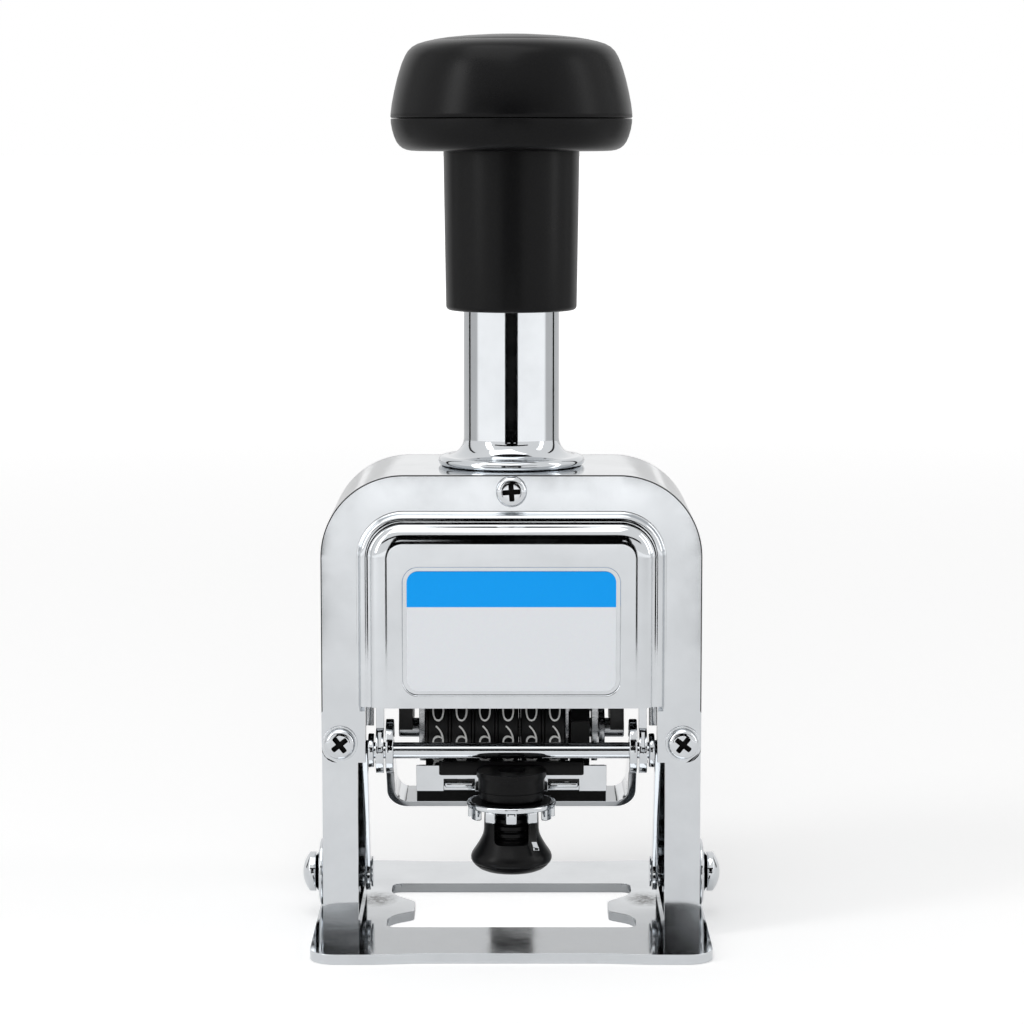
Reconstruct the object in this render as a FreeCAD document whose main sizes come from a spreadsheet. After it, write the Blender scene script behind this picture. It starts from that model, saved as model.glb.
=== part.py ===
import FreeCAD, Part
import Sketcher
import math
import os

# Numbering machine. The origin is the middle of the underside of the base
# plate, the front is towards -Y and the knob is at the top. All sizes in mm.

document = FreeCAD.newDocument("numbering_machine")
sheet = document.addObject("Spreadsheet::Sheet", "Sizes")
nodes = []


class Size:
    """A length that knows its number and the sheet formula that gives it."""

    def __init__(self, number, formula):
        self.number = number
        self.formula = formula

    def __add__(self, other):
        other = as_size(other)
        return Size(self.number + other.number, f"({self.formula} + {other.formula})")

    def __radd__(self, other):
        return as_size(other) + self

    def __sub__(self, other):
        other = as_size(other)
        return Size(self.number - other.number, f"({self.formula} - {other.formula})")

    def __rsub__(self, other):
        return as_size(other) - self

    def __mul__(self, factor):
        factor = as_size(factor)
        return Size(self.number * factor.number, f"({self.formula} * {factor.formula})")

    def __rmul__(self, factor):
        return as_size(factor) * self

    def __truediv__(self, divisor):
        divisor = as_size(divisor)
        return Size(self.number / divisor.number, f"({self.formula} / {divisor.formula})")

    def __neg__(self):
        return Size(-self.number, f"(-1 * {self.formula})")


def as_size(value):
    if isinstance(value, Size):
        return value
    return Size(float(value), f"({float(value)!r})")


def size(alias, number):
    """Write one driving size in the sheet and hand back its value."""
    row = size.rows = size.rows + 1
    sheet.set(f"A{row}", alias.replace("_", " "))
    sheet.set(f"B{row}", str(number))
    sheet.setAlias(f"B{row}", alias)
    return Size(float(number), f"Sizes.{alias}")


size.rows = 0


# driving sizes: base plate
base_side_margin = size("base_side_margin", 1.3)
base_depth = size("base_depth", 62.0)
base_thickness = size("base_thickness", 1.5)
base_corner = size("base_corner", 4.0)
waist_step = size("waist_step", 0.8)
waist_width = size("waist_width", 34.4)
waist_slope = size("waist_slope", 6.0)
window_width = size("window_width", 38.4)
window_depth = size("window_depth", 28.6)
window_corner = size("window_corner", 1.5)
pointer_reach = size("pointer_reach", 4.0)
pointer_root = size("pointer_root", 16.0)
pointer_tip = size("pointer_tip", 9.4)
pointer_embed = size("pointer_embed", 1.0)

# housing: bent channel strap with a pressed cover on each side
housing_width = size("housing_width", 57.6)
housing_top = size("housing_top", 71.3)
housing_corner = size("housing_corner", 12.5)
channel_depth = size("channel_depth", 29.6)
channel_wall = size("channel_wall", 1.2)
leg_width = size("leg_width", 5.4)
arch_depth = size("arch_depth", 9.3)
arch_inner_corner = size("arch_inner_corner", 7.0)
foot_thickness = size("foot_thickness", 1.5)
cover_thickness = size("cover_thickness", 1.0)
cover_bottom = size("cover_bottom", 27.4)
cover_leg_width = size("cover_leg_width", 6.7)
cover_leg_corner = size("cover_leg_corner", 2.5)
panel_bottom = size("panel_bottom", 36.2)
step_half_width = size("step_half_width", 23.2)
step_top = size("step_top", 65.9)
step_corner = size("step_corner", 6.6)
step_height = size("step_height", 1.2)
panel_half_width = size("panel_half_width", 21.0)
panel_top = size("panel_top", 63.6)
panel_corner = size("panel_corner", 4.6)
panel_height = size("panel_height", 1.3)
press_round = size("press_round", 0.8)
recess_half_width = size("recess_half_width", 16.35)
recess_bottom = size("recess_bottom", 38.2)
recess_height = size("recess_height", 19.4)
recess_corner = size("recess_corner", 2.3)
recess_depth = size("recess_depth", 0.5)
label_margin = size("label_margin", 0.6)
label_thickness = size("label_thickness", 0.3)

# screws and rivets
screw_head_radius = size("screw_head_radius", 2.35)
screw_head_height = size("screw_head_height", 1.2)
screw_radius = size("screw_radius", 0.9)
screw_length = size("screw_length", 4.0)
screw_rim_height = size("screw_rim_height", 0.6)
screw_crown_radius = size("screw_crown_radius", 1.6)
cross_arm = size("cross_arm", 1.35)
cross_half_width = size("cross_half_width", 0.3)
cross_depth = size("cross_depth", 0.8)
screw_fit = size("screw_fit", 0.05)
screw_edge_top = size("screw_edge_top", 2.45)
screw_edge_side = size("screw_edge_side", 2.8)
screw_above_cover_bottom = size("screw_above_cover_bottom", 3.0)
washer_radius = size("washer_radius", 2.65)
washer_thickness = size("washer_thickness", 0.35)
foot_screw_radius = size("foot_screw_radius", 1.3)
foot_screw_head_radius = size("foot_screw_head_radius", 2.5)
foot_screw_spacing = size("foot_screw_spacing", 18.0)
foot_screw_rise = size("foot_screw_rise", 3.0)
rivet_radius = size("rivet_radius", 0.8)
rivet_head_radius = size("rivet_head_radius", 1.35)
rivet_head_height = size("rivet_head_height", 0.6)
rivet_past_leg_edge = size("rivet_past_leg_edge", 1.7)
rivet_below_top = size("rivet_below_top", 4.0)

# guide tube and handle
tube_radius = size("tube_radius", 7.35)
tube_wall = size("tube_wall", 1.05)
tube_top_gap = size("tube_top_gap", 0.8)
tube_below_top = size("tube_below_top", 8.3)
tube_fit = size("tube_fit", 0.05)
flange_radius = size("flange_radius", 11.32)
flange_rim = size("flange_rim", 0.75)
flare_round = size("flare_round", 2.0)
tube_nut_radius = size("tube_nut_radius", 9.6)
tube_nut_height = size("tube_nut_height", 4.5)
nut_slot_half_width = size("nut_slot_half_width", 1.2)
nut_slot_depth = size("nut_slot_depth", 1.4)
nut_slot_height = size("nut_slot_height", 2.25)
bush_height = size("bush_height", 4.0)
rod_radius = size("rod_radius", 2.5)
rod_running_gap = size("rod_running_gap", 0.05)
print_gap = size("print_gap", 0.35)
sleeve_gap = size("sleeve_gap", 1.0)
sleeve_mouth = size("sleeve_mouth", 0.6)
sleeve_length = size("sleeve_length", 24.3)
sleeve_bottom_radius = size("sleeve_bottom_radius", 10.06)
sleeve_top_radius = size("sleeve_top_radius", 10.43)
sleeve_clearance = size("sleeve_clearance", 0.35)
sleeve_round = size("sleeve_round", 0.7)
knob_radius = size("knob_radius", 18.55)
knob_base_height = size("knob_base_height", 5.0)
knob_base_edge = size("knob_base_edge", 16.6)
knob_base_round = size("knob_base_round", 1.2)
knob_base_round_in = size("knob_base_round_in", 1.0)
knob_base_round_up = size("knob_base_round_up", 0.6)
knob_base_bulge = size("knob_base_bulge", 9.0)
parting_bevel = size("parting_bevel", 0.15)
knob_floor_slope = size("knob_floor_slope", 0.8)
knob_collar = size("knob_collar", 1.5)
knob_cap_height = size("knob_cap_height", 12.8)
knob_shoulder_radius = size("knob_shoulder_radius", 16.5)
knob_shoulder_drop = size("knob_shoulder_drop", 4.1)
knob_shoulder_round = size("knob_shoulder_round", 3.6)
knob_side_bulge = size("knob_side_bulge", 60.0)
knob_dome_radius = size("knob_dome_radius", 13.6)
knob_dome_drop = size("knob_dome_drop", 1.2)
knob_wall = size("knob_wall", 2.0)
knob_crown_extra = size("knob_crown_extra", 1.6)
knob_cavity_slope = size("knob_cavity_slope", 1.0)
knob_boss_radius = size("knob_boss_radius", 6.2)
rod_grip = size("rod_grip", 9.0)
locknut_height = size("locknut_height", 2.6)
locknut_radius = size("locknut_radius", 4.4)
spring_radius = size("spring_radius", 4.4)
spring_wire = size("spring_wire", 0.55)
spring_turns = size("spring_turns", 12)

# wheel head
wheel_axis_height = size("wheel_axis_height", 29.9)
wheel_pitch = size("wheel_pitch", 3.6)
wheel_width = size("wheel_width", 2.9)
wheel_body_radius = size("wheel_body_radius", 7.7)
digit_face = size("digit_face", 8.05)
digit_width = size("digit_width", 3.2)
digit_margin = size("digit_margin", 0.3)
digit_root = size("digit_root", 1.0)
first_wheel_x = size("first_wheel_x", -11.3)
shaft_radius = size("shaft_radius", 1.5)
shaft_half_length = size("shaft_half_length", 17.6)
shaft_running_gap = size("shaft_running_gap", 0.05)
spacer_thickness = size("spacer_thickness", 0.3)
spacer_radius = size("spacer_radius", 7.85)
ratchet_left = size("ratchet_left", 9.15)
ratchet_width = size("ratchet_width", 2.95)
ratchet_radius = size("ratchet_radius", 7.8)
ratchet_depth = size("ratchet_depth", 1.1)
ratchet_hub_radius = size("ratchet_hub_radius", 2.6)
ratchet_hub_gap = size("ratchet_hub_gap", 0.3)
ratchet_hub_embed = size("ratchet_hub_embed", 0.5)
plate_thickness = size("plate_thickness", 0.9)
plate_half_depth = size("plate_half_depth", 5.2)
left_plate_x = size("left_plate_x", -14.3)
right_plate_x = size("right_plate_x", 12.5)
inner_plate_x = size("inner_plate_x", 8.35)
inner_plate_thickness = size("inner_plate_thickness", 0.55)
yoke_arm_inside = size("yoke_arm_inside", 15.3)
yoke_arm_thickness = size("yoke_arm_thickness", 2.1)
yoke_half_depth = size("yoke_half_depth", 6.0)
yoke_saddle_rise = size("yoke_saddle_rise", 0.7)
yoke_bridge_rise = size("yoke_bridge_rise", 14.1)
yoke_bridge_height = size("yoke_bridge_height", 5.5)
yoke_corner = size("yoke_corner", 1.5)
tie_rod_radius = size("tie_rod_radius", 1.1)
tie_rod_rise = size("tie_rod_rise", 11.3)
tie_rod_spacing = size("tie_rod_spacing", 7.2)
comb_thickness = size("comb_thickness", 0.5)
comb_gap = size("comb_gap", 0.5)
comb_finger_width = size("comb_finger_width", 2.2)
comb_end_gap = size("comb_end_gap", 0.4)
comb_seat_edge = size("comb_seat_edge", 0.5)
comb_knee_rise = size("comb_knee_rise", 8.0)
comb_bend_step = size("comb_bend_step", 0.3)
comb_tip_drop = size("comb_tip_drop", 1.0)
advance_arm_thickness = size("advance_arm_thickness", 0.9)
advance_arm_gap = size("advance_arm_gap", 0.25)
advance_pin_radius = size("advance_pin_radius", 0.7)
advance_pin_reach = size("advance_pin_reach", 9.4)
advance_hub_radius = size("advance_hub_radius", 3.0)
advance_pin_rise = size("advance_pin_rise", 1.5)
advance_bar_below = size("advance_bar_below", 1.3)
advance_bar_above = size("advance_bar_above", 2.6)
advance_bar_past_pin = size("advance_bar_past_pin", 0.9)
pawl_radius = size("pawl_radius", 1.1)
pawl_side_gap = size("pawl_side_gap", 0.3)
cross_rod_radius = size("cross_rod_radius", 1.0)
cross_rod_y = size("cross_rod_y", 12.2)
cross_rod_clearance = size("cross_rod_clearance", 0.7)

# ink pad carriage
axle_radius = size("axle_radius", 1.23)
axle_inset = size("axle_inset", 1.4)
axle_drop = size("axle_drop", 1.05)
axle_running_gap = size("axle_running_gap", 0.05)
eye_radius = size("eye_radius", 3.45)
strap_inside = size("strap_inside", 17.9)
strap_thickness = size("strap_thickness", 1.2)
strap_floor = size("strap_floor", 1.0)
strap_corner = size("strap_corner", 3.0)
strap_behind_riser = size("strap_behind_riser", 0.6)
strap_back = size("strap_back", 3.6)
strap_edge_height = size("strap_edge_height", 2.4)
side_gap = size("side_gap", 0.3)
bracket_thickness = size("bracket_thickness", 1.2)
bracket_top = size("bracket_top", 45.5)
bracket_slot_width = size("bracket_slot_width", 0.5)
bracket_slot_rise = size("bracket_slot_rise", 0.4)
bracket_slot_past_eye = size("bracket_slot_past_eye", 0.5)
bracket_slot_wall = size("bracket_slot_wall", 0.3)
bracket_tab_width = size("bracket_tab_width", 3.0)
bracket_tab_height = size("bracket_tab_height", 7.5)
crank_thickness = size("crank_thickness", 0.9)
crank_eye = size("crank_eye", 2.6)
crank_length = size("crank_length", 4.5)
crank_pin_radius = size("crank_pin_radius", 0.8)
crank_end = size("crank_end", 1.7)
crank_web_half = size("crank_web_half", 1.4)
tray_half_width = size("tray_half_width", 14.6)
tray_floor = size("tray_floor", 0.45)
tray_back = size("tray_back", 6.2)
tray_wall = size("tray_wall", 0.7)
tray_front_height = size("tray_front_height", 6.0)
tray_lip = size("tray_lip", 0.9)
tray_shelf_rise = size("tray_shelf_rise", 2.0)
tray_window_x = size("tray_window_x", 8.0)
tray_window_half = size("tray_window_half", 2.4)
tray_window_height = size("tray_window_height", 1.9)
pad_half_width = size("pad_half_width", 13.4)
pad_depth = size("pad_depth", 10.8)
pad_gap = size("pad_gap", 0.65)
pad_thickness = size("pad_thickness", 0.85)
case_half_width = size("case_half_width", 11.6)
case_height = size("case_height", 2.5)
case_corner = size("case_corner", 1.0)
case_before_grip = size("case_before_grip", 1.7)
case_above_ring = size("case_above_ring", 2.6)
case_roof = size("case_roof", 0.8)
socket_radius = size("socket_radius", 5.0)
grip_forward = size("grip_forward", 2.1)
socket_tray_gap = size("socket_tray_gap", 0.1)
socket_ring_gap = size("socket_ring_gap", 0.1)
socket_embed = size("socket_embed", 0.5)
ring_radius = size("ring_radius", 6.8)
ring_height = size("ring_height", 1.4)
ring_tray_gap = size("ring_tray_gap", 0.3)
ring_side_gap = size("ring_side_gap", 0.5)
ring_tooth_drop = size("ring_tooth_drop", 1.1)
ring_tooth_half_width = size("ring_tooth_half_width", 0.88)
ring_tooth_thickness = size("ring_tooth_thickness", 1.15)
ring_tooth_inset = size("ring_tooth_inset", 0.15)
ring_tooth_embed = size("ring_tooth_embed", 0.4)
ring_teeth = size("ring_teeth", 12)
neck_radius = size("neck_radius", 4.1)
flare_radius = size("flare_radius", 6.2)
grip_length = size("grip_length", 10.4)
foot_flat_radius = size("foot_flat_radius", 3.2)
foot_dome_radius = size("foot_dome_radius", 9.0)
foot_edge_radius = size("foot_edge_radius", 5.4)
foot_edge_rise = size("foot_edge_rise", 1.2)
foot_edge_round = size("foot_edge_round", 2.6)
flare_rise = size("flare_rise", 3.4)
flare_round_over = size("flare_round_over", 4.0)
waist_radius = size("waist_radius", 5.0)
waist_rise = size("waist_rise", 5.6)
neck_rise = size("neck_rise", 7.6)
recess_half = size("recess_half", 2.6)
recess_floor = size("recess_floor", 2.6)
recess_rise = size("recess_rise", 4.4)
recess_below_ring = size("recess_below_ring", 1.6)
recess_round = size("recess_round", 0.8)
stem_radius = size("stem_radius", 2.0)
stem_running_gap = size("stem_running_gap", 0.05)
stem_reach = size("stem_reach", 1.4)
latch_half_width = size("latch_half_width", 1.0)
latch_thickness = size("latch_thickness", 0.5)
latch_top_gap = size("latch_top_gap", 2.2)
latch_bend_below_ring = size("latch_bend_below_ring", 4.6)
latch_tip_reach = size("latch_tip_reach", 4.6)
latch_tip_rise = size("latch_tip_rise", 5.0)
latch_tip_lift = size("latch_tip_lift", 0.2)
latch_curve = size("latch_curve", 9.0)

# side levers and their studs
stud_height = size("stud_height", 6.9)
stud_radius = size("stud_radius", 1.6)
stud_fit = size("stud_fit", 0.05)
stud_end_gap = size("stud_end_gap", 0.1)
stud_shoulder_radius = size("stud_shoulder_radius", 2.4)
stud_head_radius = size("stud_head_radius", 3.1)
stud_head_height = size("stud_head_height", 2.1)
stud_head_wall = size("stud_head_wall", 0.95)
disc_radius = size("disc_radius", 5.2)
disc_height = size("disc_height", 1.9)
disc_rim_low = size("disc_rim_low", 0.7)
disc_rim_high = size("disc_rim_high", 1.1)
disc_slope_high = size("disc_slope_high", 1.3)
disc_foot_inset = size("disc_foot_inset", 1.4)
disc_slope_inset = size("disc_slope_inset", 0.5)
disc_dish_inset = size("disc_dish_inset", 1.7)
disc_dish_drop = size("disc_dish_drop", 0.5)
disc_collar = size("disc_collar", 0.9)
lever_thickness = size("lever_thickness", 0.8)
lever_half_width = size("lever_half_width", 1.8)
lever_running_gap = size("lever_running_gap", 0.05)
lever_slot_half_width = size("lever_slot_half_width", 1.35)
lever_tip = size("lever_tip", 1.4)
lever_tip_round = size("lever_tip_round", 0.6)
lever_fork_wall = size("lever_fork_wall", 0.8)
lever_eye_margin = size("lever_eye_margin", 0.5)
pad_swing_angle = size("pad_swing_angle", 86.0)

# how far a cut runs past the face that it opens
PAST = size("cut_past_face", 1.0)


def sphere_radius(rim, rise):
    """Radius of the ball whose cap has this rim radius and this rise."""
    return (rim * rim + rise * rise) / (rise * 2)


def bind(thing, prop, value):
    """Tie one property of a document object to its sheet formula."""
    value = as_size(value)
    thing.setExpression(prop, value.formula)


def register(label, thing):
    thing.Label = label
    nodes.append((label, thing))
    return thing


def plane_of(body, role):
    for feature in body.Origin.OriginFeatures:
        if feature.Role == role:
            return feature
    raise RuntimeError(f"{body.Name} has no {role}")


def new_body(name):
    return document.addObject("PartDesign::Body", name + "_body")


def new_sketch(body, name, role, offset):
    sketch = body.newObject("Sketcher::SketchObject", name)
    sketch.AttachmentSupport = [(plane_of(body, role), "")]
    sketch.MapMode = "FlatFace"
    offset = as_size(offset)
    sketch.AttachmentOffset = FreeCAD.Placement(
        FreeCAD.Vector(0, 0, offset.number), FreeCAD.Rotation())
    bind(sketch, "AttachmentOffset.Base.z", offset)
    return sketch


def fix_coordinate(sketch, geometry, end, value, kind):
    """Hold one coordinate of a sketch point at its formula."""
    value = as_size(value)
    if abs(value.number) < 1e-9:
        axis = -2 if kind == "DistanceX" else -1
        sketch.addConstraint(Sketcher.Constraint("PointOnObject", geometry, end, axis))
        return
    index = sketch.addConstraint(
        Sketcher.Constraint(kind, -1, 1, geometry, end, value.number))
    bind(sketch, f"Constraints[{index}]", value)


def fix_radius(sketch, geometry, radius):
    radius = as_size(radius)
    index = sketch.addConstraint(Sketcher.Constraint("Radius", geometry, radius.number))
    bind(sketch, f"Constraints[{index}]", radius)


def draw_circle(sketch, x, y, radius):
    x, y, radius = as_size(x), as_size(y), as_size(radius)
    centre = FreeCAD.Vector(x.number, y.number, 0)
    circle = sketch.addGeometry(
        Part.Circle(centre, FreeCAD.Vector(0, 0, 1), radius.number), False)
    fix_coordinate(sketch, circle, 3, x, "DistanceX")
    fix_coordinate(sketch, circle, 3, y, "DistanceY")
    fix_radius(sketch, circle, radius)


def draw_squared(sketch, corners):
    """Outline of upright and level lines. A corner is (x, y) or (x, y, radius)."""
    corners = [[as_size(v) for v in corner] for corner in corners]
    count = len(corners)
    spots = [FreeCAD.Vector(c[0].number, c[1].number, 0) for c in corners]
    radii = [c[2].number if len(c) > 2 else 0.0 for c in corners]
    lines = []
    for i in range(count):
        start, end = spots[i], spots[(i + 1) % count]
        along = (end - start).normalize()
        first = start + along * radii[i]
        last = end - along * radii[(i + 1) % count]
        line = sketch.addGeometry(Part.LineSegment(first, last), False)
        lines.append(line)
        if abs(along.x) < 1e-9:
            sketch.addConstraint(Sketcher.Constraint("Vertical", line))
            fix_coordinate(sketch, line, 1, corners[i][0], "DistanceX")
        else:
            sketch.addConstraint(Sketcher.Constraint("Horizontal", line))
            fix_coordinate(sketch, line, 1, corners[i][1], "DistanceY")
    for i in range(count):
        before, after = lines[i - 1], lines[i]
        if not radii[i]:
            sketch.addConstraint(Sketcher.Constraint("Coincident", before, 2, after, 1))
            continue
        arriving = (spots[i] - spots[i - 1]).normalize()
        leaving = (spots[(i + 1) % count] - spots[i]).normalize()
        start = spots[i] - arriving * radii[i]
        centre = start + leaving * radii[i]
        turns_left = arriving.x * leaving.y - arriving.y * leaving.x > 0
        finish = spots[i] + leaving * radii[i]
        if turns_left:
            first, last = start, finish
        else:
            first, last = finish, start
        first_angle = math.atan2(first.y - centre.y, first.x - centre.x)
        last_angle = math.atan2(last.y - centre.y, last.x - centre.x)
        if last_angle < first_angle:
            last_angle += 2 * math.pi
        circle = Part.Circle(centre, FreeCAD.Vector(0, 0, 1), radii[i])
        arc = sketch.addGeometry(
            Part.ArcOfCircle(circle, first_angle, last_angle), False)
        enter, leave = (1, 2) if turns_left else (2, 1)
        sketch.addConstraint(Sketcher.Constraint("Tangent", before, 2, arc, enter))
        sketch.addConstraint(Sketcher.Constraint("Tangent", arc, leave, after, 1))
        fix_radius(sketch, arc, corners[i][2])


def draw_profile(sketch, steps):
    """Outline through points. A step is (x, y), or (x, y, radius, side) where the
    stretch to the next point is an arc whose middle bulges to the "left" or
    "right" of the way there."""
    steps = [[v if isinstance(v, str) else as_size(v) for v in step] for step in steps]
    spots = [FreeCAD.Vector(s[0].number, s[1].number, 0) for s in steps]
    count = len(steps)
    pieces = []
    for i in range(count):
        start, end = spots[i], spots[(i + 1) % count]
        if len(steps[i]) == 2:
            line = sketch.addGeometry(Part.LineSegment(start, end), False)
            pieces.append((line, 1, 2))
            continue
        radius, side = steps[i][2].number, steps[i][3]
        chord = end - start
        left = FreeCAD.Vector(-chord.y, chord.x, 0).normalize()
        half = chord.Length / 2
        rise = math.sqrt(max(radius * radius - half * half, 0.0))
        centre = (start + end) * 0.5 + left * (rise if side == "right" else -rise)
        first, last = (start, end) if side == "right" else (end, start)
        first_angle = math.atan2(first.y - centre.y, first.x - centre.x)
        last_angle = math.atan2(last.y - centre.y, last.x - centre.x)
        if last_angle < first_angle:
            last_angle += 2 * math.pi
        circle = Part.Circle(centre, FreeCAD.Vector(0, 0, 1), radius)
        arc = sketch.addGeometry(
            Part.ArcOfCircle(circle, first_angle, last_angle), False)
        pieces.append((arc, 1, 2) if side == "right" else (arc, 2, 1))
        fix_radius(sketch, arc, steps[i][2])
    for i in range(count):
        piece, first, last = pieces[i]
        previous, _, previous_last = pieces[i - 1]
        sketch.addConstraint(
            Sketcher.Constraint("Coincident", previous, previous_last, piece, first))
        fix_coordinate(sketch, piece, first, steps[i][0], "DistanceX")
        fix_coordinate(sketch, piece, first, steps[i][1], "DistanceY")


SIGN_OF_NORMAL = {"XY_Plane": 1, "XZ_Plane": -1, "YZ_Plane": 1}


def slab(body, name, role, draw, low, high, cuts=False):
    """Pad or pocket between two places along the plane's own axis."""
    low, high = as_size(low), as_size(high)
    offset = low if SIGN_OF_NORMAL[role] > 0 else -high
    sketch = new_sketch(body, name + "_sketch", role, offset)
    draw(sketch)
    document.recompute()
    before = body.Shape.Volume if cuts else 0
    kind = "PartDesign::Pocket" if cuts else "PartDesign::Pad"
    feature = body.newObject(kind, name)
    feature.Profile = sketch
    feature.Reversed = cuts
    bind(feature, "Length", high - low)
    document.recompute()
    if cuts and body.Shape.Volume >= before - 1e-6:
        raise RuntimeError(f"{name} cuts nothing")
    return feature


def squared(corners):
    return lambda sketch: draw_squared(sketch, corners)


def outline(steps):
    return lambda sketch: draw_profile(sketch, steps)


def circles(places, radius):
    def draw(sketch):
        for x, y in places:
            draw_circle(sketch, x, y, radius)
    return draw


def turned(name, steps):
    """Body turned about its own Z axis from a profile of (radius, height)."""
    body = new_body(name)
    sketch = new_sketch(body, name + "_sketch", "XZ_Plane", 0)
    draw_profile(sketch, steps)
    feature = body.newObject("PartDesign::Revolution", name + "_turn")
    feature.Profile = sketch
    feature.ReferenceAxis = (sketch, ["V_Axis"])
    feature.Angle = 360
    document.recompute()
    return body


def place(thing, x, y, z, rotation=None):
    x, y, z = as_size(x), as_size(y), as_size(z)
    thing.Placement = FreeCAD.Placement(
        FreeCAD.Vector(x.number, y.number, z.number), rotation or FreeCAD.Rotation())
    bind(thing, "Placement.Base.x", x)
    bind(thing, "Placement.Base.y", y)
    bind(thing, "Placement.Base.z", z)
    return thing


ALONG = {
    "x": FreeCAD.Rotation(FreeCAD.Vector(0, 1, 0), 90),
    "-x": FreeCAD.Rotation(FreeCAD.Vector(0, 1, 0), -90),
    "y": FreeCAD.Rotation(FreeCAD.Vector(1, 0, 0), -90),
    "-y": FreeCAD.Rotation(FreeCAD.Vector(1, 0, 0), 90),
    "z": FreeCAD.Rotation(),
}


def rod(name, way, start, radius, length):
    """Cylinder that starts at a point and runs along one axis."""
    thing = document.addObject("Part::Cylinder", name)
    bind(thing, "Radius", radius)
    bind(thing, "Height", length)
    return place(thing, *start, rotation=ALONG[way])


def taper(name, way, start, first_radius, last_radius, length):
    thing = document.addObject("Part::Cone", name)
    bind(thing, "Radius1", first_radius)
    bind(thing, "Radius2", last_radius)
    bind(thing, "Height", length)
    return place(thing, *start, rotation=ALONG[way])


def block(name, low, high):
    """Box between two corners."""
    low = [as_size(v) for v in low]
    high = [as_size(v) for v in high]
    thing = document.addObject("Part::Box", name)
    bind(thing, "Length", high[0] - low[0])
    bind(thing, "Width", high[1] - low[1])
    bind(thing, "Height", high[2] - low[2])
    return place(thing, *low)


def slanted_bar(name, x, y, z, thickness, half_height, length, angle):
    """Bar across X that runs from a point at an angle, in radians, up from +Y."""
    thing = document.addObject("Part::Box", name)
    bind(thing, "Length", thickness)
    bind(thing, "Width", length)
    bind(thing, "Height", half_height * 2)
    return place(thing, x, y + half_height * math.sin(angle),
                 z - half_height * math.cos(angle),
                 FreeCAD.Rotation(FreeCAD.Vector(1, 0, 0), math.degrees(angle)))


def join(name, pieces):
    thing = document.addObject("Part::MultiFuse", name)
    thing.Shapes = pieces
    thing.Refine = True
    return thing


def cut(name, base, tools):
    tool = tools[0] if len(tools) == 1 else join(name + "_tools", tools)
    thing = document.addObject("Part::Cut", name)
    thing.Base = base
    thing.Tool = tool
    thing.Refine = True
    return thing


def shared(name, first, second):
    thing = document.addObject("Part::Common", name)
    thing.Base = first
    thing.Tool = second
    thing.Refine = True
    return thing


def group(name, pieces):
    """Several like solids kept in one node."""
    thing = document.addObject("Part::Compound", name)
    thing.Links = pieces
    return thing


# heights and places that follow from the wheel axis, worked out downwards to the
# ink pad carriage and upwards to the knob
half_width = housing_width / 2
half_channel = channel_depth / 2
cover_face = half_channel + cover_thickness
leg_inside = half_width - leg_width
flange_inside = half_channel - channel_wall
screw_top_height = housing_top - screw_edge_top
screw_low_height = cover_bottom + screw_above_cover_bottom
screw_side = half_width - screw_edge_side
screw_hole_radius = screw_radius + screw_fit
cross_rod_height = screw_low_height + screw_radius + cross_rod_radius + cross_rod_clearance
wheel_bottom = wheel_axis_height - digit_face
stroke = wheel_bottom - print_gap
yoke_bottom = wheel_axis_height + yoke_saddle_rise
yoke_bridge_bottom = wheel_axis_height + yoke_bridge_rise
tie_rod_height = wheel_axis_height + tie_rod_rise
pad_top = wheel_bottom - pad_gap
tray_floor_top = pad_top - pad_thickness
tray_bottom = tray_floor_top - tray_floor
strap_bottom = tray_bottom - strap_floor
tray_shelf = tray_bottom + tray_shelf_rise
tray_front_top = tray_bottom + tray_front_height
ring_top = tray_shelf - ring_tray_gap
ring_bottom = ring_top - ring_height
case_bottom = ring_top + case_above_ring
grip_bottom = ring_bottom - grip_length
axle_height = wheel_axis_height - axle_drop
axle_y = axle_inset - half_channel
grip_y = axle_y - grip_forward
tray_front = grip_y + socket_radius + socket_tray_gap
tray_riser = grip_y + ring_radius + ring_side_gap
strap_front = tray_riser + strap_behind_riser
case_front = grip_y - case_before_grip

# base plate
# Flat plate with feet at both ends, a print window and two centring pointers
# that reach in from the window's ends.
base_half = half_width + base_side_margin
base_front = base_depth / 2
waist_front = base_front - waist_step
waist_half = waist_width / 2
foot_screw_x = half_width - leg_width / 2 - channel_wall / 2
foot_screw_y = foot_screw_spacing / 2

plate = new_body("base_plate")
slab(plate, "base_slab", "XY_Plane", squared([
    (-base_half, -base_front, base_corner), (base_half, -base_front, base_corner),
    (base_half, base_front, base_corner), (-base_half, base_front, base_corner)]),
    0, base_thickness)
waist_floor = waist_half - waist_slope / 2
waist_mouth = waist_half + waist_slope / 2 + waist_slope * PAST / waist_step
slab(plate, "waist_front", "XY_Plane", outline([
    (-waist_mouth, -base_front - PAST), (waist_mouth, -base_front - PAST),
    (waist_floor, -waist_front), (-waist_floor, -waist_front)]),
    0, base_thickness, cuts=True)
slab(plate, "waist_back", "XY_Plane", outline([
    (-waist_floor, waist_front), (waist_floor, waist_front),
    (waist_mouth, base_front + PAST), (-waist_mouth, base_front + PAST)]),
    0, base_thickness, cuts=True)
window_x = window_width / 2
window_y = window_depth / 2
slab(plate, "print_window", "XY_Plane", squared([
    (-window_x, -window_y, window_corner), (window_x, -window_y, window_corner),
    (window_x, window_y, window_corner), (-window_x, window_y, window_corner)]),
    0, base_thickness, cuts=True)
for side in (-1, 1):
    root_x = side * (window_x + pointer_embed)
    tip_x = side * (window_x - pointer_reach)
    slab(plate, f"pointer_{'left' if side < 0 else 'right'}", "XY_Plane", outline([
        (root_x, -pointer_root / 2), (tip_x, -pointer_tip / 2),
        (tip_x, pointer_tip / 2), (root_x, pointer_root / 2)]),
        0, base_thickness)
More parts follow.
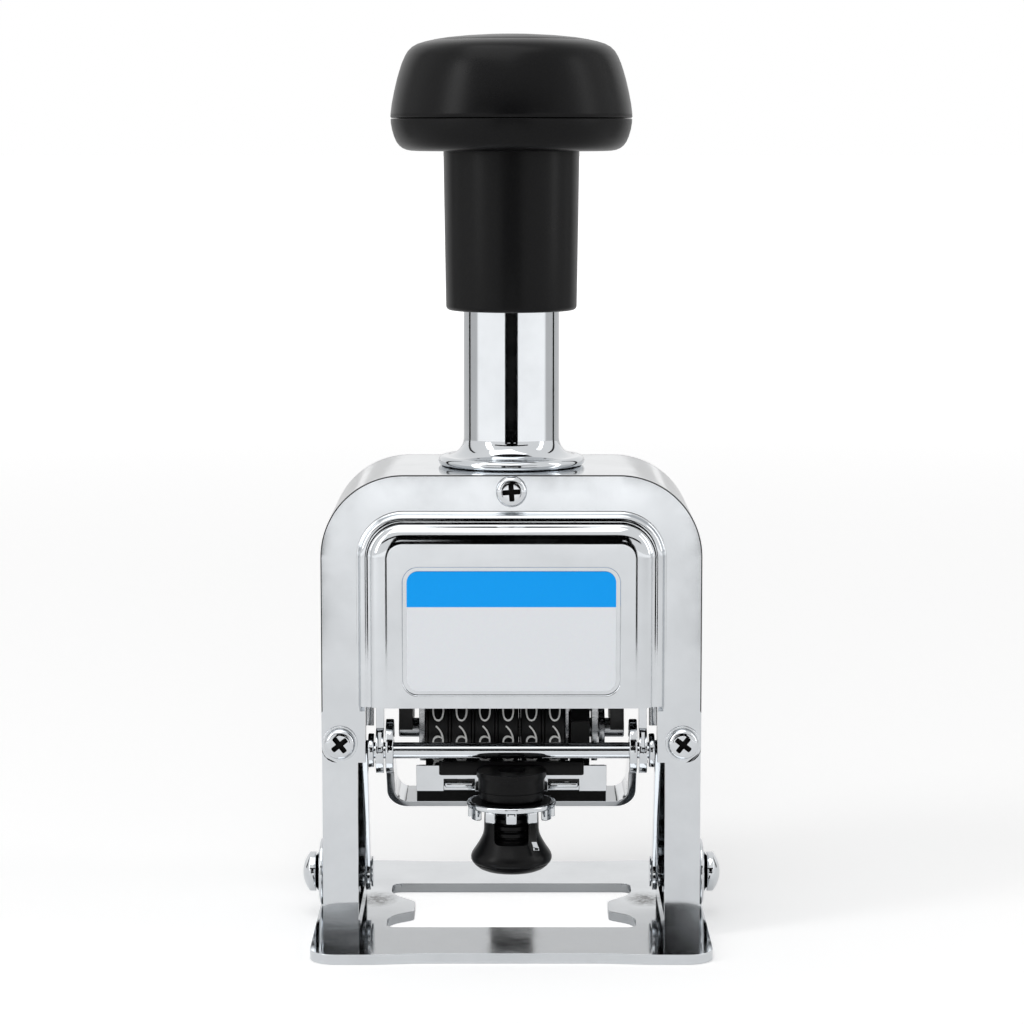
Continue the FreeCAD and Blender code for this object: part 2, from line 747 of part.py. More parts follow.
slab(plate, "foot_holes", "XY_Plane", circles(
    [(sx * foot_screw_x, sy * foot_screw_y) for sx in (-1, 1) for sy in (-1, 1)],
    foot_screw_radius), 0, base_thickness, cuts=True)
countersinks = []
foot_screws = []
sink_depth = foot_screw_head_radius - foot_screw_radius
for sx in (-1, 1):
    for sy in (-1, 1):
        spot = (sx * foot_screw_x, sy * foot_screw_y, 0)
        tag = f"{'left' if sx < 0 else 'right'}_{'front' if sy < 0 else 'back'}"
        countersinks.append(taper("sink_" + tag, "z", spot, foot_screw_head_radius,
                                  foot_screw_radius, sink_depth))
        head = taper("foot_head_" + tag, "z", spot, foot_screw_head_radius,
                     foot_screw_radius, sink_depth)
        shank = rod("foot_shank_" + tag, "z", spot, foot_screw_radius,
                    base_thickness + foot_screw_rise)
        foot_screws.append(join("foot_screw_" + tag, [head, shank]))
register("base_plate", cut("base_plate_sunk", plate, countersinks))
register("foot_screws", group("foot_screw_set", foot_screws))

# outer frame
# One strap bent into an arch with two legs. It is a channel that opens
# inwards, with a foot across the bottom of each leg.
inner_top = housing_top - arch_depth
channel = new_body("outer_frame")
slab(channel, "arch", "XZ_Plane", squared([
    (-half_width, base_thickness), (-leg_inside, base_thickness),
    (-leg_inside, inner_top, arch_inner_corner), (leg_inside, inner_top, arch_inner_corner),
    (leg_inside, base_thickness), (half_width, base_thickness),
    (half_width, housing_top, housing_corner),
    (-half_width, housing_top, housing_corner)]),
    -half_channel, half_channel)
foot_top = base_thickness + foot_thickness
web_inside = half_width - channel_wall
web_top = housing_top - channel_wall
slab(channel, "channel_hollow", "XZ_Plane", squared([
    (-web_inside, foot_top), (web_inside, foot_top),
    (web_inside, web_top, housing_corner - channel_wall),
    (-web_inside, web_top, housing_corner - channel_wall)]),
    -flange_inside, flange_inside, cuts=True)
cover_screw_places = [(0, screw_top_height), (-screw_side, screw_low_height),
                      (screw_side, screw_low_height)]
slab(channel, "cover_screw_holes", "XZ_Plane", circles(cover_screw_places, screw_hole_radius),
     -half_channel, half_channel, cuts=True)
slab(channel, "tube_hole", "XY_Plane", circles([(0, 0)], tube_radius + tube_fit),
     web_top, housing_top, cuts=True)
slab(channel, "stud_holes", "YZ_Plane", circles([(0, stud_height)], stud_radius + stud_fit),
     -half_width, half_width, cuts=True)
slab(channel, "cross_rod_holes", "YZ_Plane",
     circles([(cross_rod_y, cross_rod_height)], cross_rod_radius),
     -half_width, half_width, cuts=True)
slab(channel, "foot_thread_holes", "XY_Plane", circles(
    [(sx * foot_screw_x, sy * foot_screw_y) for sx in (-1, 1) for sy in (-1, 1)],
    foot_screw_radius), base_thickness, foot_top, cuts=True)
rivet_x = leg_inside + rivet_past_leg_edge
rivet_height = bracket_top - rivet_below_top
slab(channel, "bracket_rivet_holes", "XZ_Plane",
     circles([(-rivet_x, rivet_height), (rivet_x, rivet_height)], rivet_radius),
     -half_channel, -flange_inside, cuts=True)
register("outer_frame", channel)

# front and back covers
# Pressed sheet on the channel's flange. Its middle is raised in two rounded
# steps, and the raised middle is open at its lower edge.


def cover_body(name, with_recess):
    """Cover drawn facing -Y, with its back on the plane Y = 0."""
    body = new_body(name)
    leg = half_width - cover_leg_width
    slab(body, name + "_sheet", "XZ_Plane", squared([
        (-half_width, cover_bottom, cover_leg_corner),
        (-leg, cover_bottom, cover_leg_corner), (-leg, panel_bottom),
        (leg, panel_bottom), (leg, cover_bottom, cover_leg_corner),
        (half_width, cover_bottom, cover_leg_corner),
        (half_width, housing_top, housing_corner),
        (-half_width, housing_top, housing_corner)]),
        -cover_thickness, 0)
    step_face = cover_thickness + step_height
    panel_face = step_face + panel_height
    step_x = step_half_width
    first = slab(body, name + "_step", "XZ_Plane", squared([
        (-step_x, panel_bottom), (step_x, panel_bottom),
        (step_x, step_top, step_corner), (-step_x, step_top, step_corner)]),
        -step_face, -cover_thickness / 2)
    round_front(body, name + "_step_round", first, -step_face, press_round)
    second = slab(body, name + "_panel", "XZ_Plane", squared([
        (-panel_half_width, panel_bottom), (panel_half_width, panel_bottom),
        (panel_half_width, panel_top, panel_corner),
        (-panel_half_width, panel_top, panel_corner)]),
        -panel_face, -cover_thickness)
    round_front(body, name + "_panel_round", second, -panel_face, press_round)
    below = panel_bottom - PAST
    slab(body, name + "_step_hollow", "XZ_Plane", squared([
        (-step_x + cover_thickness, below), (step_x - cover_thickness, below),
        (step_x - cover_thickness, step_top - cover_thickness,
         step_corner - cover_thickness),
        (-step_x + cover_thickness, step_top - cover_thickness,
         step_corner - cover_thickness)]),
        -step_height, 0, cuts=True)
    inner_panel = panel_half_width - cover_thickness
    slab(body, name + "_panel_hollow", "XZ_Plane", squared([
        (-inner_panel, below), (inner_panel, below),
        (inner_panel, panel_top - cover_thickness, panel_corner - cover_thickness),
        (-inner_panel, panel_top - cover_thickness, panel_corner - cover_thickness)]),
        -(step_height + panel_height), 0, cuts=True)
    if with_recess:
        slab(body, name + "_recess", "XZ_Plane", squared([
            (-recess_half_width, recess_bottom, recess_corner),
            (recess_half_width, recess_bottom, recess_corner),
            (recess_half_width, recess_bottom + recess_height, recess_corner),
            (-recess_half_width, recess_bottom + recess_height, recess_corner)]),
            -panel_face, -panel_face + recess_depth, cuts=True)
    slab(body, name + "_holes", "XZ_Plane", circles(cover_screw_places, screw_hole_radius),
         -cover_thickness, 0, cuts=True)
    return body


def round_front(body, name, feature, face_y, radius):
    """Round the outer edge of the raised face that lies at one Y."""
    face_y, radius = as_size(face_y), as_size(radius)
    document.recompute()
    edges = []
    for index, edge in enumerate(feature.Shape.Edges, 1):
        box = edge.BoundBox
        on_face = abs(box.YMin - face_y.number) < 1e-4 and abs(box.YMax - face_y.number) < 1e-4
        at_bottom = box.ZMax - panel_bottom.number < 1e-4
        if on_face and not at_bottom:
            edges.append(f"Edge{index}")
    fillet = body.newObject("PartDesign::Fillet", name)
    fillet.Base = (feature, edges)
    bind(fillet, "Radius", radius)
    document.recompute()


front_cover = cover_body("front_cover", True)
place(front_cover, 0, -half_channel, 0)
register("front_cover", front_cover)
back_cover = cover_body("back_cover", False)
place(back_cover, 0, half_channel, 0, FreeCAD.Rotation(FreeCAD.Vector(0, 0, 1), 180))
register("back_cover", back_cover)

# label plate in the recess
panel_face_y = -(half_channel + cover_thickness + step_height + panel_height)
label_back = panel_face_y + recess_depth
label_x = recess_half_width - label_margin
label_low = recess_bottom + label_margin
label_high = recess_bottom + recess_height - label_margin
label_corner = recess_corner - label_margin
label = new_body("label_plate")
slab(label, "label_sheet", "XZ_Plane", squared([
    (-label_x, label_low, label_corner), (label_x, label_low, label_corner),
    (label_x, label_high, label_corner), (-label_x, label_high, label_corner)]),
    label_back - label_thickness, label_back)
register("label_plate", label)

# cover screws and washers


def cover_screw(name, x, z, face, way):
    """Pan-head cross screw whose head stands on a face across the Y axis."""
    sign = -1 if way == "-y" else 1
    shank = rod(name + "_shank", way, (x, sign * (face - screw_length), z),
                screw_radius, screw_length)
    rim = rod(name + "_rim", way, (x, sign * face, z), screw_head_radius,
              screw_rim_height)
    crown = taper(name + "_crown", way, (x, sign * (face + screw_rim_height), z),
                  screw_head_radius, screw_crown_radius,
                  screw_head_height - screw_rim_height)
    whole = join(name + "_blank", [shank, rim, crown])
    arm = cross_arm
    bit = cross_half_width
    far = face + screw_head_height
    near = far - cross_depth
    low_y, high_y = (near, far) if sign > 0 else (-far, -near)
    slot_a = block(name + "_slot_a", (x - arm, low_y, z - bit), (x + arm, high_y, z + bit))
    slot_b = block(name + "_slot_b", (x - bit, low_y, z - arm), (x + bit, high_y, z + arm))
    return cut(name, whole, [slot_a, slot_b])


def screw_set(name, way):
    screws = []
    for index, (x, z) in enumerate(cover_screw_places):
        face = cover_face if index == 0 else cover_face + washer_thickness
        screws.append(cover_screw(f"{name}_{index + 1}", x, z, face, way))
    return screws


def washer_set(name, way):
    washers = []
    sign = -1 if way == "-y" else 1
    for index, (x, z) in enumerate(cover_screw_places[1:]):
        start = (x, sign * cover_face, z)
        disc = rod(f"{name}_disc_{index + 1}", way, start, washer_radius, washer_thickness)
        hole = rod(f"{name}_hole_{index + 1}", way, start, screw_hole_radius,
                   washer_thickness)
        washers.append(cut(f"{name}_{index + 1}", disc, [hole]))
    return washers


register("front_cover_screws", group("front_screw_group", screw_set("front_screw", "-y")))
register("back_cover_screws", group("back_screw_group", screw_set("back_screw", "y")))
register("front_screw_washers", group("front_washer_group", washer_set("front_washer", "-y")))
register("back_screw_washers", group("back_washer_group", washer_set("back_washer", "y")))

# guide tube, its nut and the rod bush
tube_bottom = housing_top - tube_below_top
tube_bore = tube_radius - tube_wall
rim_inner = flange_radius - flange_rim
flange_top = housing_top + flange_rim * 2
sleeve_bottom = flange_top + stroke + sleeve_gap
sleeve_top = sleeve_bottom + sleeve_length
parting = sleeve_top + knob_base_height
tube_top = parting - stroke - tube_top_gap
register("guide_tube", turned("guide_tube", [
    (tube_bore, tube_bottom), (tube_radius, tube_bottom), (tube_radius, housing_top),
    (rim_inner, housing_top, flange_rim, "right"),
    (flange_radius, housing_top + flange_rim, flange_rim, "right"),
    (rim_inner, flange_top),
    (tube_radius + flare_round, flange_top, flare_round, "left"),
    (tube_radius, flange_top + flare_round),
    (tube_radius, tube_top), (tube_bore, tube_top)]))
nut_ring = rod("tube_nut_ring", "z", (0, 0, web_top - tube_nut_height),
               tube_nut_radius, tube_nut_height)
nut_hole = rod("tube_nut_hole", "z", (0, 0, web_top - tube_nut_height),
               tube_radius, tube_nut_height)
nut_slot_low = web_top - tube_nut_height - PAST
nut_slot_high = web_top - tube_nut_height + nut_slot_height
nut_slot_in = tube_nut_radius - nut_slot_depth
nut_slot_out = tube_nut_radius + PAST
nut_slots = [
    block("tube_nut_slot_front", (-nut_slot_half_width, -nut_slot_out, nut_slot_low),
          (nut_slot_half_width, -nut_slot_in, nut_slot_high)),
    block("tube_nut_slot_back", (-nut_slot_half_width, nut_slot_in, nut_slot_low),
          (nut_slot_half_width, nut_slot_out, nut_slot_high))]
register("tube_nut", cut("tube_nut_cut", nut_ring, [nut_hole] + nut_slots))
register("rod_bush", turned("rod_bush", [
    (rod_radius + rod_running_gap, tube_bottom), (tube_bore, tube_bottom),
    (tube_bore, tube_bottom + bush_height),
    (rod_radius + rod_running_gap, tube_bottom + bush_height)]))

# handle: sleeve, two-part knob, rod, locknut and return spring
sleeve_bore = tube_radius + sleeve_clearance
register("handle_sleeve", turned("handle_sleeve", [
    (sleeve_bore, sleeve_bottom + sleeve_mouth), (sleeve_bore + sleeve_mouth, sleeve_bottom),
    (sleeve_bottom_radius - sleeve_round, sleeve_bottom, sleeve_round, "right"),
    (sleeve_bottom_radius, sleeve_bottom + sleeve_round),
    (sleeve_top_radius, sleeve_top), (sleeve_bore, sleeve_top)]))
register("knob_base", turned("knob_base", [
    (sleeve_bore, sleeve_top),
    (knob_base_edge - knob_base_round_in, sleeve_top, knob_base_round, "right"),
    (knob_base_edge, sleeve_top + knob_base_round_up, knob_base_bulge, "right"),
    (knob_radius, parting - parting_bevel), (knob_radius - parting_bevel, parting),
    (knob_radius - knob_wall, parting),
    (knob_radius - knob_wall - knob_floor_slope, sleeve_top + knob_wall),
    (sleeve_bore + knob_collar, sleeve_top + knob_wall),
    (sleeve_bore + knob_collar, parting), (sleeve_bore, parting)]))
knob_top = parting + knob_cap_height
shoulder_height = knob_top - knob_shoulder_drop
dome_height = knob_top - knob_dome_drop
dome_sphere = sphere_radius(knob_dome_radius, knob_dome_drop)
rod_top = parting + rod_grip
cavity_top = knob_top - knob_wall - knob_crown_extra
register("knob_cap", turned("knob_cap", [
    (0, rod_top), (rod_radius, rod_top), (rod_radius, parting),
    (knob_boss_radius, parting), (knob_boss_radius, cavity_top),
    (knob_shoulder_radius - knob_wall - knob_cavity_slope, cavity_top),
    (knob_radius - knob_wall, parting + knob_cavity_slope),
    (knob_radius - knob_wall, parting), (knob_radius - parting_bevel, parting),
    (knob_radius, parting + parting_bevel, knob_side_bulge, "right"),
    (knob_shoulder_radius, shoulder_height, knob_shoulder_round, "right"),
    (knob_dome_radius, dome_height, dome_sphere, "right"), (0, knob_top)]))
rod_bottom = yoke_bridge_bottom
register("plunger_rod", turned("plunger_rod", [
    (0, rod_bottom), (rod_radius, rod_bottom), (rod_radius, rod_top), (0, rod_top)]))
spring_top = parting - locknut_height
register("rod_locknut", turned("rod_locknut", [
    (rod_radius, spring_top), (locknut_radius, spring_top), (locknut_radius, parting),
    (rod_radius, parting)]))


def arc_between(start, corner, end):
    """Arc that touches the line start-corner at its start and corner-end at its end."""
    middle = (start + end) * 0.5
    half_chord = start.distanceToPoint(end) / 2
    tangent = start.distanceToPoint(corner)
    turn = math.acos(min(1.0, half_chord / tangent))
    towards = corner - middle
    rise = half_chord * math.tan(turn / 2)
    return Part.Arc(start, middle + towards.normalize() * rise, end).toShape()


def coil_spring(radius, wire, bottom, top, turns, pieces_per_turn=4):
    """Open coil made as one tube along pairs of arcs that touch end to end."""
    count = int(round(turns * pieces_per_turn))
    low = bottom + wire
    climb = (top - wire - low) / count
    turn = 2 * math.pi / pieces_per_turn
    slope = climb / turn

    def point(i):
        angle = i * turn
        return FreeCAD.Vector(radius * math.cos(angle), radius * math.sin(angle),
                              low + i * climb)

    def heading(i):
        angle = i * turn
        return FreeCAD.Vector(-radius * math.sin(angle), radius * math.cos(angle),
                              slope).normalize()

    edges = []
    for i in range(count):
        start, end = point(i), point(i + 1)
        out, arrive = heading(i), heading(i + 1)
        across = end - start
        both = out + arrive
        share = 2 * (1 - out.dot(arrive))
        reach = (-across.dot(both) + math.sqrt(
            across.dot(both) ** 2 + share * across.dot(across))) / share
        first_corner = start + out * reach
        last_corner = end - arrive * reach
        meeting = (first_corner + last_corner) * 0.5
        edges.append(arc_between(start, first_corner, meeting))
        edges.append(arc_between(meeting, last_corner, end))
    path = Part.Wire(edges)
    section = Part.Wire([Part.Circle(point(0), heading(0), wire).toShape()])
    solid = path.makePipeShell([section], True, False)
    gap = climb * pieces_per_turn - 2 * wire
    length = path.Length
    print(f"return spring: {turns} turns, least gap {gap:.2f}, "
          f"volume share {solid.Volume / (math.pi * wire ** 2 * length):.4f}")
    return solid


return_spring = document.addObject("Part::Feature", "return_spring_shape")
return_spring.Shape = coil_spring(
    spring_radius.number, spring_wire.number, (tube_bottom + bush_height).number,
    spring_top.number, spring_turns.number)
register("return_spring", return_spring)

# wheel head
# A black forked block on the rod's end holds two side plates, an inner plate,
# the shaft and two tie rods.
arm_outside = yoke_arm_inside + yoke_arm_thickness
bridge_top = yoke_bridge_bottom + yoke_bridge_height
yoke = new_body("head_yoke")
slab(yoke, "yoke_fork", "XZ_Plane", squared([
    (-arm_outside, yoke_bottom), (-yoke_arm_inside, yoke_bottom),
    (-yoke_arm_inside, yoke_bridge_bottom), (yoke_arm_inside, yoke_bridge_bottom),
    (yoke_arm_inside, yoke_bottom), (arm_outside, yoke_bottom),
    (arm_outside, bridge_top, yoke_corner), (-arm_outside, bridge_top, yoke_corner)]),
    -yoke_half_depth, yoke_half_depth)
slab(yoke, "rod_seat", "XY_Plane", circles([(0, 0)], rod_radius),
     yoke_bridge_bottom, bridge_top, cuts=True)
slab(yoke, "shaft_saddle", "YZ_Plane", circles([(0, wheel_axis_height)], shaft_radius),
     -arm_outside, arm_outside, cuts=True)
tie_y = tie_rod_spacing / 2
tie_places = [(-tie_y, tie_rod_height), (tie_y, tie_rod_height)]
slab(yoke, "tie_rod_holes", "YZ_Plane", circles(tie_places, tie_rod_radius),
     -arm_outside, arm_outside, cuts=True)
register("head_yoke", yoke)


def head_plate(name, left, thickness, bore):
    """Flat plate round the shaft that reaches up to the yoke."""
    body = new_body(name)
    slab(body, name + "_sheet", "YZ_Plane", squared([
        (-plate_half_depth, wheel_axis_height), (plate_half_depth, wheel_axis_height),
        (plate_half_depth, yoke_bridge_bottom), (-plate_half_depth, yoke_bridge_bottom)]),
        left, left + thickness)
    slab(body, name + "_lobe", "YZ_Plane",
         circles([(0, wheel_axis_height)], plate_half_depth), left, left + thickness)
    slab(body, name + "_shaft_hole", "YZ_Plane", circles([(0, wheel_axis_height)], bore),
         left, left + thickness, cuts=True)
    slab(body, name + "_rod_holes", "YZ_Plane", circles(tie_places, tie_rod_radius),
         left, left + thickness, cuts=True)
    register(name, body)


head_plate("head_plate_left", left_plate_x, plate_thickness, shaft_radius)
head_plate("head_plate_right", right_plate_x, plate_thickness, shaft_radius)
head_plate("head_plate_inner", inner_plate_x, inner_plate_thickness,
           ratchet_hub_radius + ratchet_hub_gap)
for label_name, y in (("tie_rod_front", -tie_y), ("tie_rod_back", tie_y)):
    register(label_name, rod(label_name + "_bar", "x", (-arm_outside, y, tie_rod_height),
                             tie_rod_radius, arm_outside * 2))
register("wheel_shaft", rod("wheel_shaft_bar", "x",
                            (-shaft_half_length, 0, wheel_axis_height),
                            shaft_radius, shaft_half_length * 2))

# digit wheels: a drum with ten raised blocks, one for each digit
wheel_count = 6
digit_low = wheel_body_radius - digit_root
for index in range(wheel_count):
    name = f"digit_wheel_{index + 1}"
    body = new_body(name)
    slab(body, name + "_drum", "XY_Plane", circles([(0, 0)], wheel_body_radius),
         0, wheel_width)
    block_pad = slab(body, name + "_digit", "XY_Plane", squared([
        (digit_low, -digit_width / 2), (digit_face, -digit_width / 2),
        (digit_face, digit_width / 2), (digit_low, digit_width / 2)]),
        digit_margin, wheel_width - digit_margin)
    ring = body.newObject("PartDesign::PolarPattern", name + "_digits")
    ring.Originals = [block_pad]
    ring.Axis = (plane_of(body, "Z_Axis"), [""])
    ring.Angle = 360
    ring.Occurrences = 10
    body.Tip = ring
    document.recompute()
    slab(body, name + "_bore", "XY_Plane", circles([(0, 0)], shaft_radius + shaft_running_gap),
         0, wheel_width, cuts=True)
    place(body, first_wheel_x + wheel_pitch * index - wheel_width / 2, 0,
          wheel_axis_height, ALONG["x"])
    register(name, body)

# thin discs between the wheels, tight on the shaft
spacers = []
for index in range(wheel_count):
    x = first_wheel_x + wheel_pitch * (index - 0.5) - spacer_thickness / 2
    start = (x, 0, wheel_axis_height)
    disc = rod(f"spacer_disc_{index + 1}", "x", start, spacer_radius, spacer_thickness)
    hole = rod(f"spacer_hole_{index + 1}", "x", start, shaft_radius, spacer_thickness)
    spacers.append(cut(f"spacer_{index + 1}", disc, [hole]))
register("wheel_spacers", group("spacer_group", spacers))

# ratchet wheel on the last digit wheel, with its hub through the inner plate
tooth_count = 10
ratchet = new_body("ratchet_wheel")


def draw_ratchet(sketch):
    corners = []
    for tooth in range(tooth_count):
        angle = 2 * math.pi * tooth / tooth_count
        c, s = math.cos(angle), math.sin(angle)
        corners.append((ratchet_radius * c, ratchet_radius * s))
        corners.append(((ratchet_radius - ratchet_depth) * c,
                        (ratchet_radius - ratchet_depth) * s))
    draw_profile(sketch, corners)


last_wheel_right = first_wheel_x + wheel_pitch * (wheel_count - 1) + wheel_width / 2
hub_length = ratchet_left - last_wheel_right
slab(ratchet, "ratchet_teeth", "XY_Plane", draw_ratchet, hub_length,
     hub_length + ratchet_width)
slab(ratchet, "ratchet_hub", "XY_Plane", circles([(0, 0)], ratchet_hub_radius),
     0, hub_length + ratchet_hub_embed)
slab(ratchet, "ratchet_bore", "XY_Plane", circles([(0, 0)], shaft_radius + shaft_running_gap),
     0, hub_length + ratchet_width, cuts=True)
place(ratchet, last_wheel_right, 0, wheel_axis_height, ALONG["x"])
register("ratchet_wheel", ratchet)

# detent comb: one sprung finger behind each digit wheel
comb = new_body("detent_comb")
comb_left = first_wheel_x - wheel_pitch / 2
comb_right = comb_left + wheel_pitch * wheel_count - comb_end_gap
comb_inner = digit_face + comb_gap
comb_outer = comb_inner + comb_thickness
comb_back = yoke_half_depth + comb_thickness
comb_top = bridge_top - comb_seat_edge
comb_bend = yoke_bridge_bottom + comb_seat_edge
comb_tip = wheel_axis_height - comb_tip_drop
knee = wheel_axis_height + comb_knee_rise
slab(comb, "comb_strip", "YZ_Plane", outline([
    (yoke_half_depth, comb_top), (yoke_half_depth, comb_bend), (comb_inner, knee),
    (comb_inner, comb_tip), (comb_outer, comb_tip), (comb_outer, knee + comb_bend_step),
    (comb_back, comb_bend + comb_bend_step), (comb_back, comb_top)]),
    comb_left, comb_right)
for index in range(wheel_count - 1):
    middle = first_wheel_x + wheel_pitch * (index + 0.5)
    gap_half = (wheel_pitch - comb_finger_width) / 2
    slab(comb, f"comb_slit_{index + 1}", "XZ_Plane", squared([
        (middle - gap_half, comb_tip - PAST), (middle + gap_half, comb_tip - PAST),
        (middle + gap_half, yoke_bridge_bottom), (middle - gap_half, yoke_bridge_bottom)]),
        yoke_half_depth - PAST, comb_outer + PAST, cuts=True)
register("detent_comb", comb)

# advance arm: rocks on the shaft and carries the pawl behind the ratchet wheel
arm_left = right_plate_x + plate_thickness + advance_arm_gap
arm_right = arm_left + advance_arm_thickness
pin_z = wheel_axis_height + advance_pin_rise
arm_hub = rod("advance_hub", "x", (arm_left, 0, wheel_axis_height), advance_hub_radius,
              advance_arm_thickness)
arm_bar = block("advance_bar", (arm_left, 0, wheel_axis_height - advance_bar_below),
                (arm_right, advance_pin_reach + advance_bar_past_pin,
                 wheel_axis_height + advance_bar_above))
arm_blank = join("advance_blank", [arm_hub, arm_bar])
arm_bore = rod("advance_bore", "x", (arm_left, 0, wheel_axis_height),
               shaft_radius + shaft_running_gap, advance_arm_thickness)
register("advance_arm", cut("advance_arm_cut", arm_blank, [
    arm_bore, rod("advance_pin_hole", "x", (arm_left, advance_pin_reach, pin_z),
                  advance_pin_radius, advance_arm_thickness)]))
pawl_left = ratchet_left + pawl_side_gap
pawl_pin = rod("pawl_pin", "x", (pawl_left, advance_pin_reach, pin_z),
               advance_pin_radius, arm_right - pawl_left)
pawl_eye = rod("pawl_eye", "x", (pawl_left, advance_pin_reach, pin_z), pawl_radius,
               ratchet_width - pawl_side_gap * 2)
register("advance_pawl", join("advance_pawl_join", [pawl_pin, pawl_eye]))

# rod across the back, riveted in both legs
register("rear_cross_rod", rod("rear_cross_bar", "x",
                               (-half_width, cross_rod_y, cross_rod_height),
                               cross_rod_radius, housing_width))

# ink pad carriage
axle_end = strap_inside + strap_thickness + side_gap + bracket_thickness + side_gap
crank_outside = axle_end + crank_thickness
register("pad_axle", rod("pad_axle_bar", "x", (-crank_outside, axle_y, axle_height),
                         axle_radius, crank_outside * 2))
strap_outside = strap_inside + strap_thickness
strap_top = axle_height + eye_radius
strap_u = new_body("strap_u")
slab(strap_u, "strap_bend", "XZ_Plane", squared([
    (-strap_outside, strap_bottom, strap_corner), (strap_outside, strap_bottom, strap_corner),
    (strap_outside, strap_top), (strap_inside, strap_top),
    (strap_inside, strap_bottom + strap_floor, strap_corner - strap_floor),
    (-strap_inside, strap_bottom + strap_floor, strap_corner - strap_floor),
    (-strap_inside, strap_top), (-strap_outside, strap_top)]),
    axle_y - eye_radius, strap_back)
strap_side = new_body("strap_side")
slab(strap_side, "strap_side_web", "YZ_Plane", outline([
    (axle_y - eye_radius, axle_height), (strap_front, strap_bottom),
    (strap_back, strap_bottom), (strap_back, strap_bottom + strap_edge_height),
    (axle_y + eye_radius, axle_height)]),
    -strap_outside, strap_outside)
slab(strap_side, "strap_side_eye", "YZ_Plane", circles([(axle_y, axle_height)], eye_radius),
     -strap_outside, strap_outside)
slab(strap_side, "strap_axle_hole", "YZ_Plane", circles([(axle_y, axle_height)], axle_radius),
     -strap_outside, strap_outside, cuts=True)
register("pad_bracket", shared("pad_bracket_shape", strap_u, strap_side))

# hangers: fixed plates that hang from the channel and carry the axle
hanger_inside = strap_outside + side_gap
hanger_outside = hanger_inside + bracket_thickness
tab_outside = leg_inside + bracket_tab_width
tab_bottom = bracket_top - bracket_tab_height
slot_low = axle_height + bracket_slot_rise
slot_high = axle_height + eye_radius + bracket_slot_past_eye
for side, word in ((-1, "left"), (1, "right")):
    body = new_body(f"pad_hanger_{word}")
    low_x = -hanger_outside if side < 0 else hanger_inside
    high_x = -hanger_inside if side < 0 else hanger_outside
    slab(body, f"hanger_web_{word}", "YZ_Plane", squared([
        (-flange_inside, axle_height), (axle_y + eye_radius, axle_height),
        (axle_y + eye_radius, bracket_top), (-flange_inside, bracket_top)]),
        low_x, high_x)
    slab(body, f"hanger_eye_{word}", "YZ_Plane",
         circles([(axle_y, axle_height)], eye_radius), low_x, high_x)
    tab_low = -tab_outside if side < 0 else hanger_inside
    tab_high = -hanger_inside if side < 0 else tab_outside
    slab(body, f"hanger_tab_{word}", "XZ_Plane", squared([
        (tab_low, tab_bottom), (tab_high, tab_bottom),
        (tab_high, bracket_top), (tab_low, bracket_top)]),
        -flange_inside, -flange_inside + bracket_thickness)
    slab(body, f"hanger_bore_{word}", "YZ_Plane",
         circles([(axle_y, axle_height)], axle_radius + axle_running_gap),
         low_x, high_x, cuts=True)
    slot_x = side * (hanger_inside + bracket_thickness / 2)
    slab(body, f"hanger_slot_{word}", "XZ_Plane", squared([
        (slot_x - bracket_slot_width / 2, slot_low),
        (slot_x + bracket_slot_width / 2, slot_low),
        (slot_x + bracket_slot_width / 2, slot_high),
        (slot_x - bracket_slot_width / 2, slot_high)]),
        axle_y - eye_radius - PAST, axle_y - axle_radius - bracket_slot_wall, cuts=True)
    slab(body, f"hanger_rivet_hole_{word}", "XZ_Plane",
         circles([(side * rivet_x, rivet_height)], rivet_radius),
         -flange_inside, -flange_inside + bracket_thickness, cuts=True)
    register(f"pad_hanger_{word}", body)
rivets = []
for side, word in ((-1, "left"), (1, "right")):
    shank = rod(f"hanger_rivet_shank_{word}", "y", (side * rivet_x, -half_channel, rivet_height),
                rivet_radius, channel_wall + bracket_thickness)
    head = rod(f"hanger_rivet_head_{word}", "y",
               (side * rivet_x, -flange_inside + bracket_thickness, rivet_height),
               rivet_head_radius, rivet_head_height)
    rivets.append(join(f"hanger_rivet_{word}", [shank, head]))
register("hanger_rivets", group("hanger_rivet_group", rivets))

# cranks on the axle's ends, each with a pin for the fork of its side lever
to_axle = math.atan2(axle_height.number - stud_height.number, axle_y.number)
crank_angle = to_axle - math.pi + math.radians(pad_swing_angle.number / 2)
crank_y = axle_y + crank_length * math.cos(crank_angle)
crank_z = axle_height + crank_length * math.sin(crank_angle)
lever_inside = crank_outside + side_gap
lever_outside = lever_inside + lever_thickness
for side, word in ((-1, "left"), (1, "right")):
    low_x = -crank_outside if side < 0 else axle_end
    pin_low = -lever_outside if side < 0 else axle_end
    eye = rod(f"crank_eye_{word}", "x", (low_x, axle_y, axle_height), crank_eye,
              crank_thickness)
    end = rod(f"crank_end_{word}", "x", (low_x, crank_y, crank_z), crank_end,
              crank_thickness)
    web = slanted_bar(f"crank_web_{word}", low_x, axle_y, axle_height, crank_thickness,
                      crank_web_half, crank_length, crank_angle)
    pin = rod(f"crank_pin_{word}", "x", (pin_low, crank_y, crank_z), crank_pin_radius,
              crank_thickness + side_gap + lever_thickness)
    hole = rod(f"crank_hole_{word}", "x", (low_x, axle_y, axle_height), axle_radius,
               crank_thickness)
    register(f"crank_{word}", cut(f"crank_cut_{word}",
                                  join(f"crank_join_{word}", [eye, web, end, pin]), [hole]))

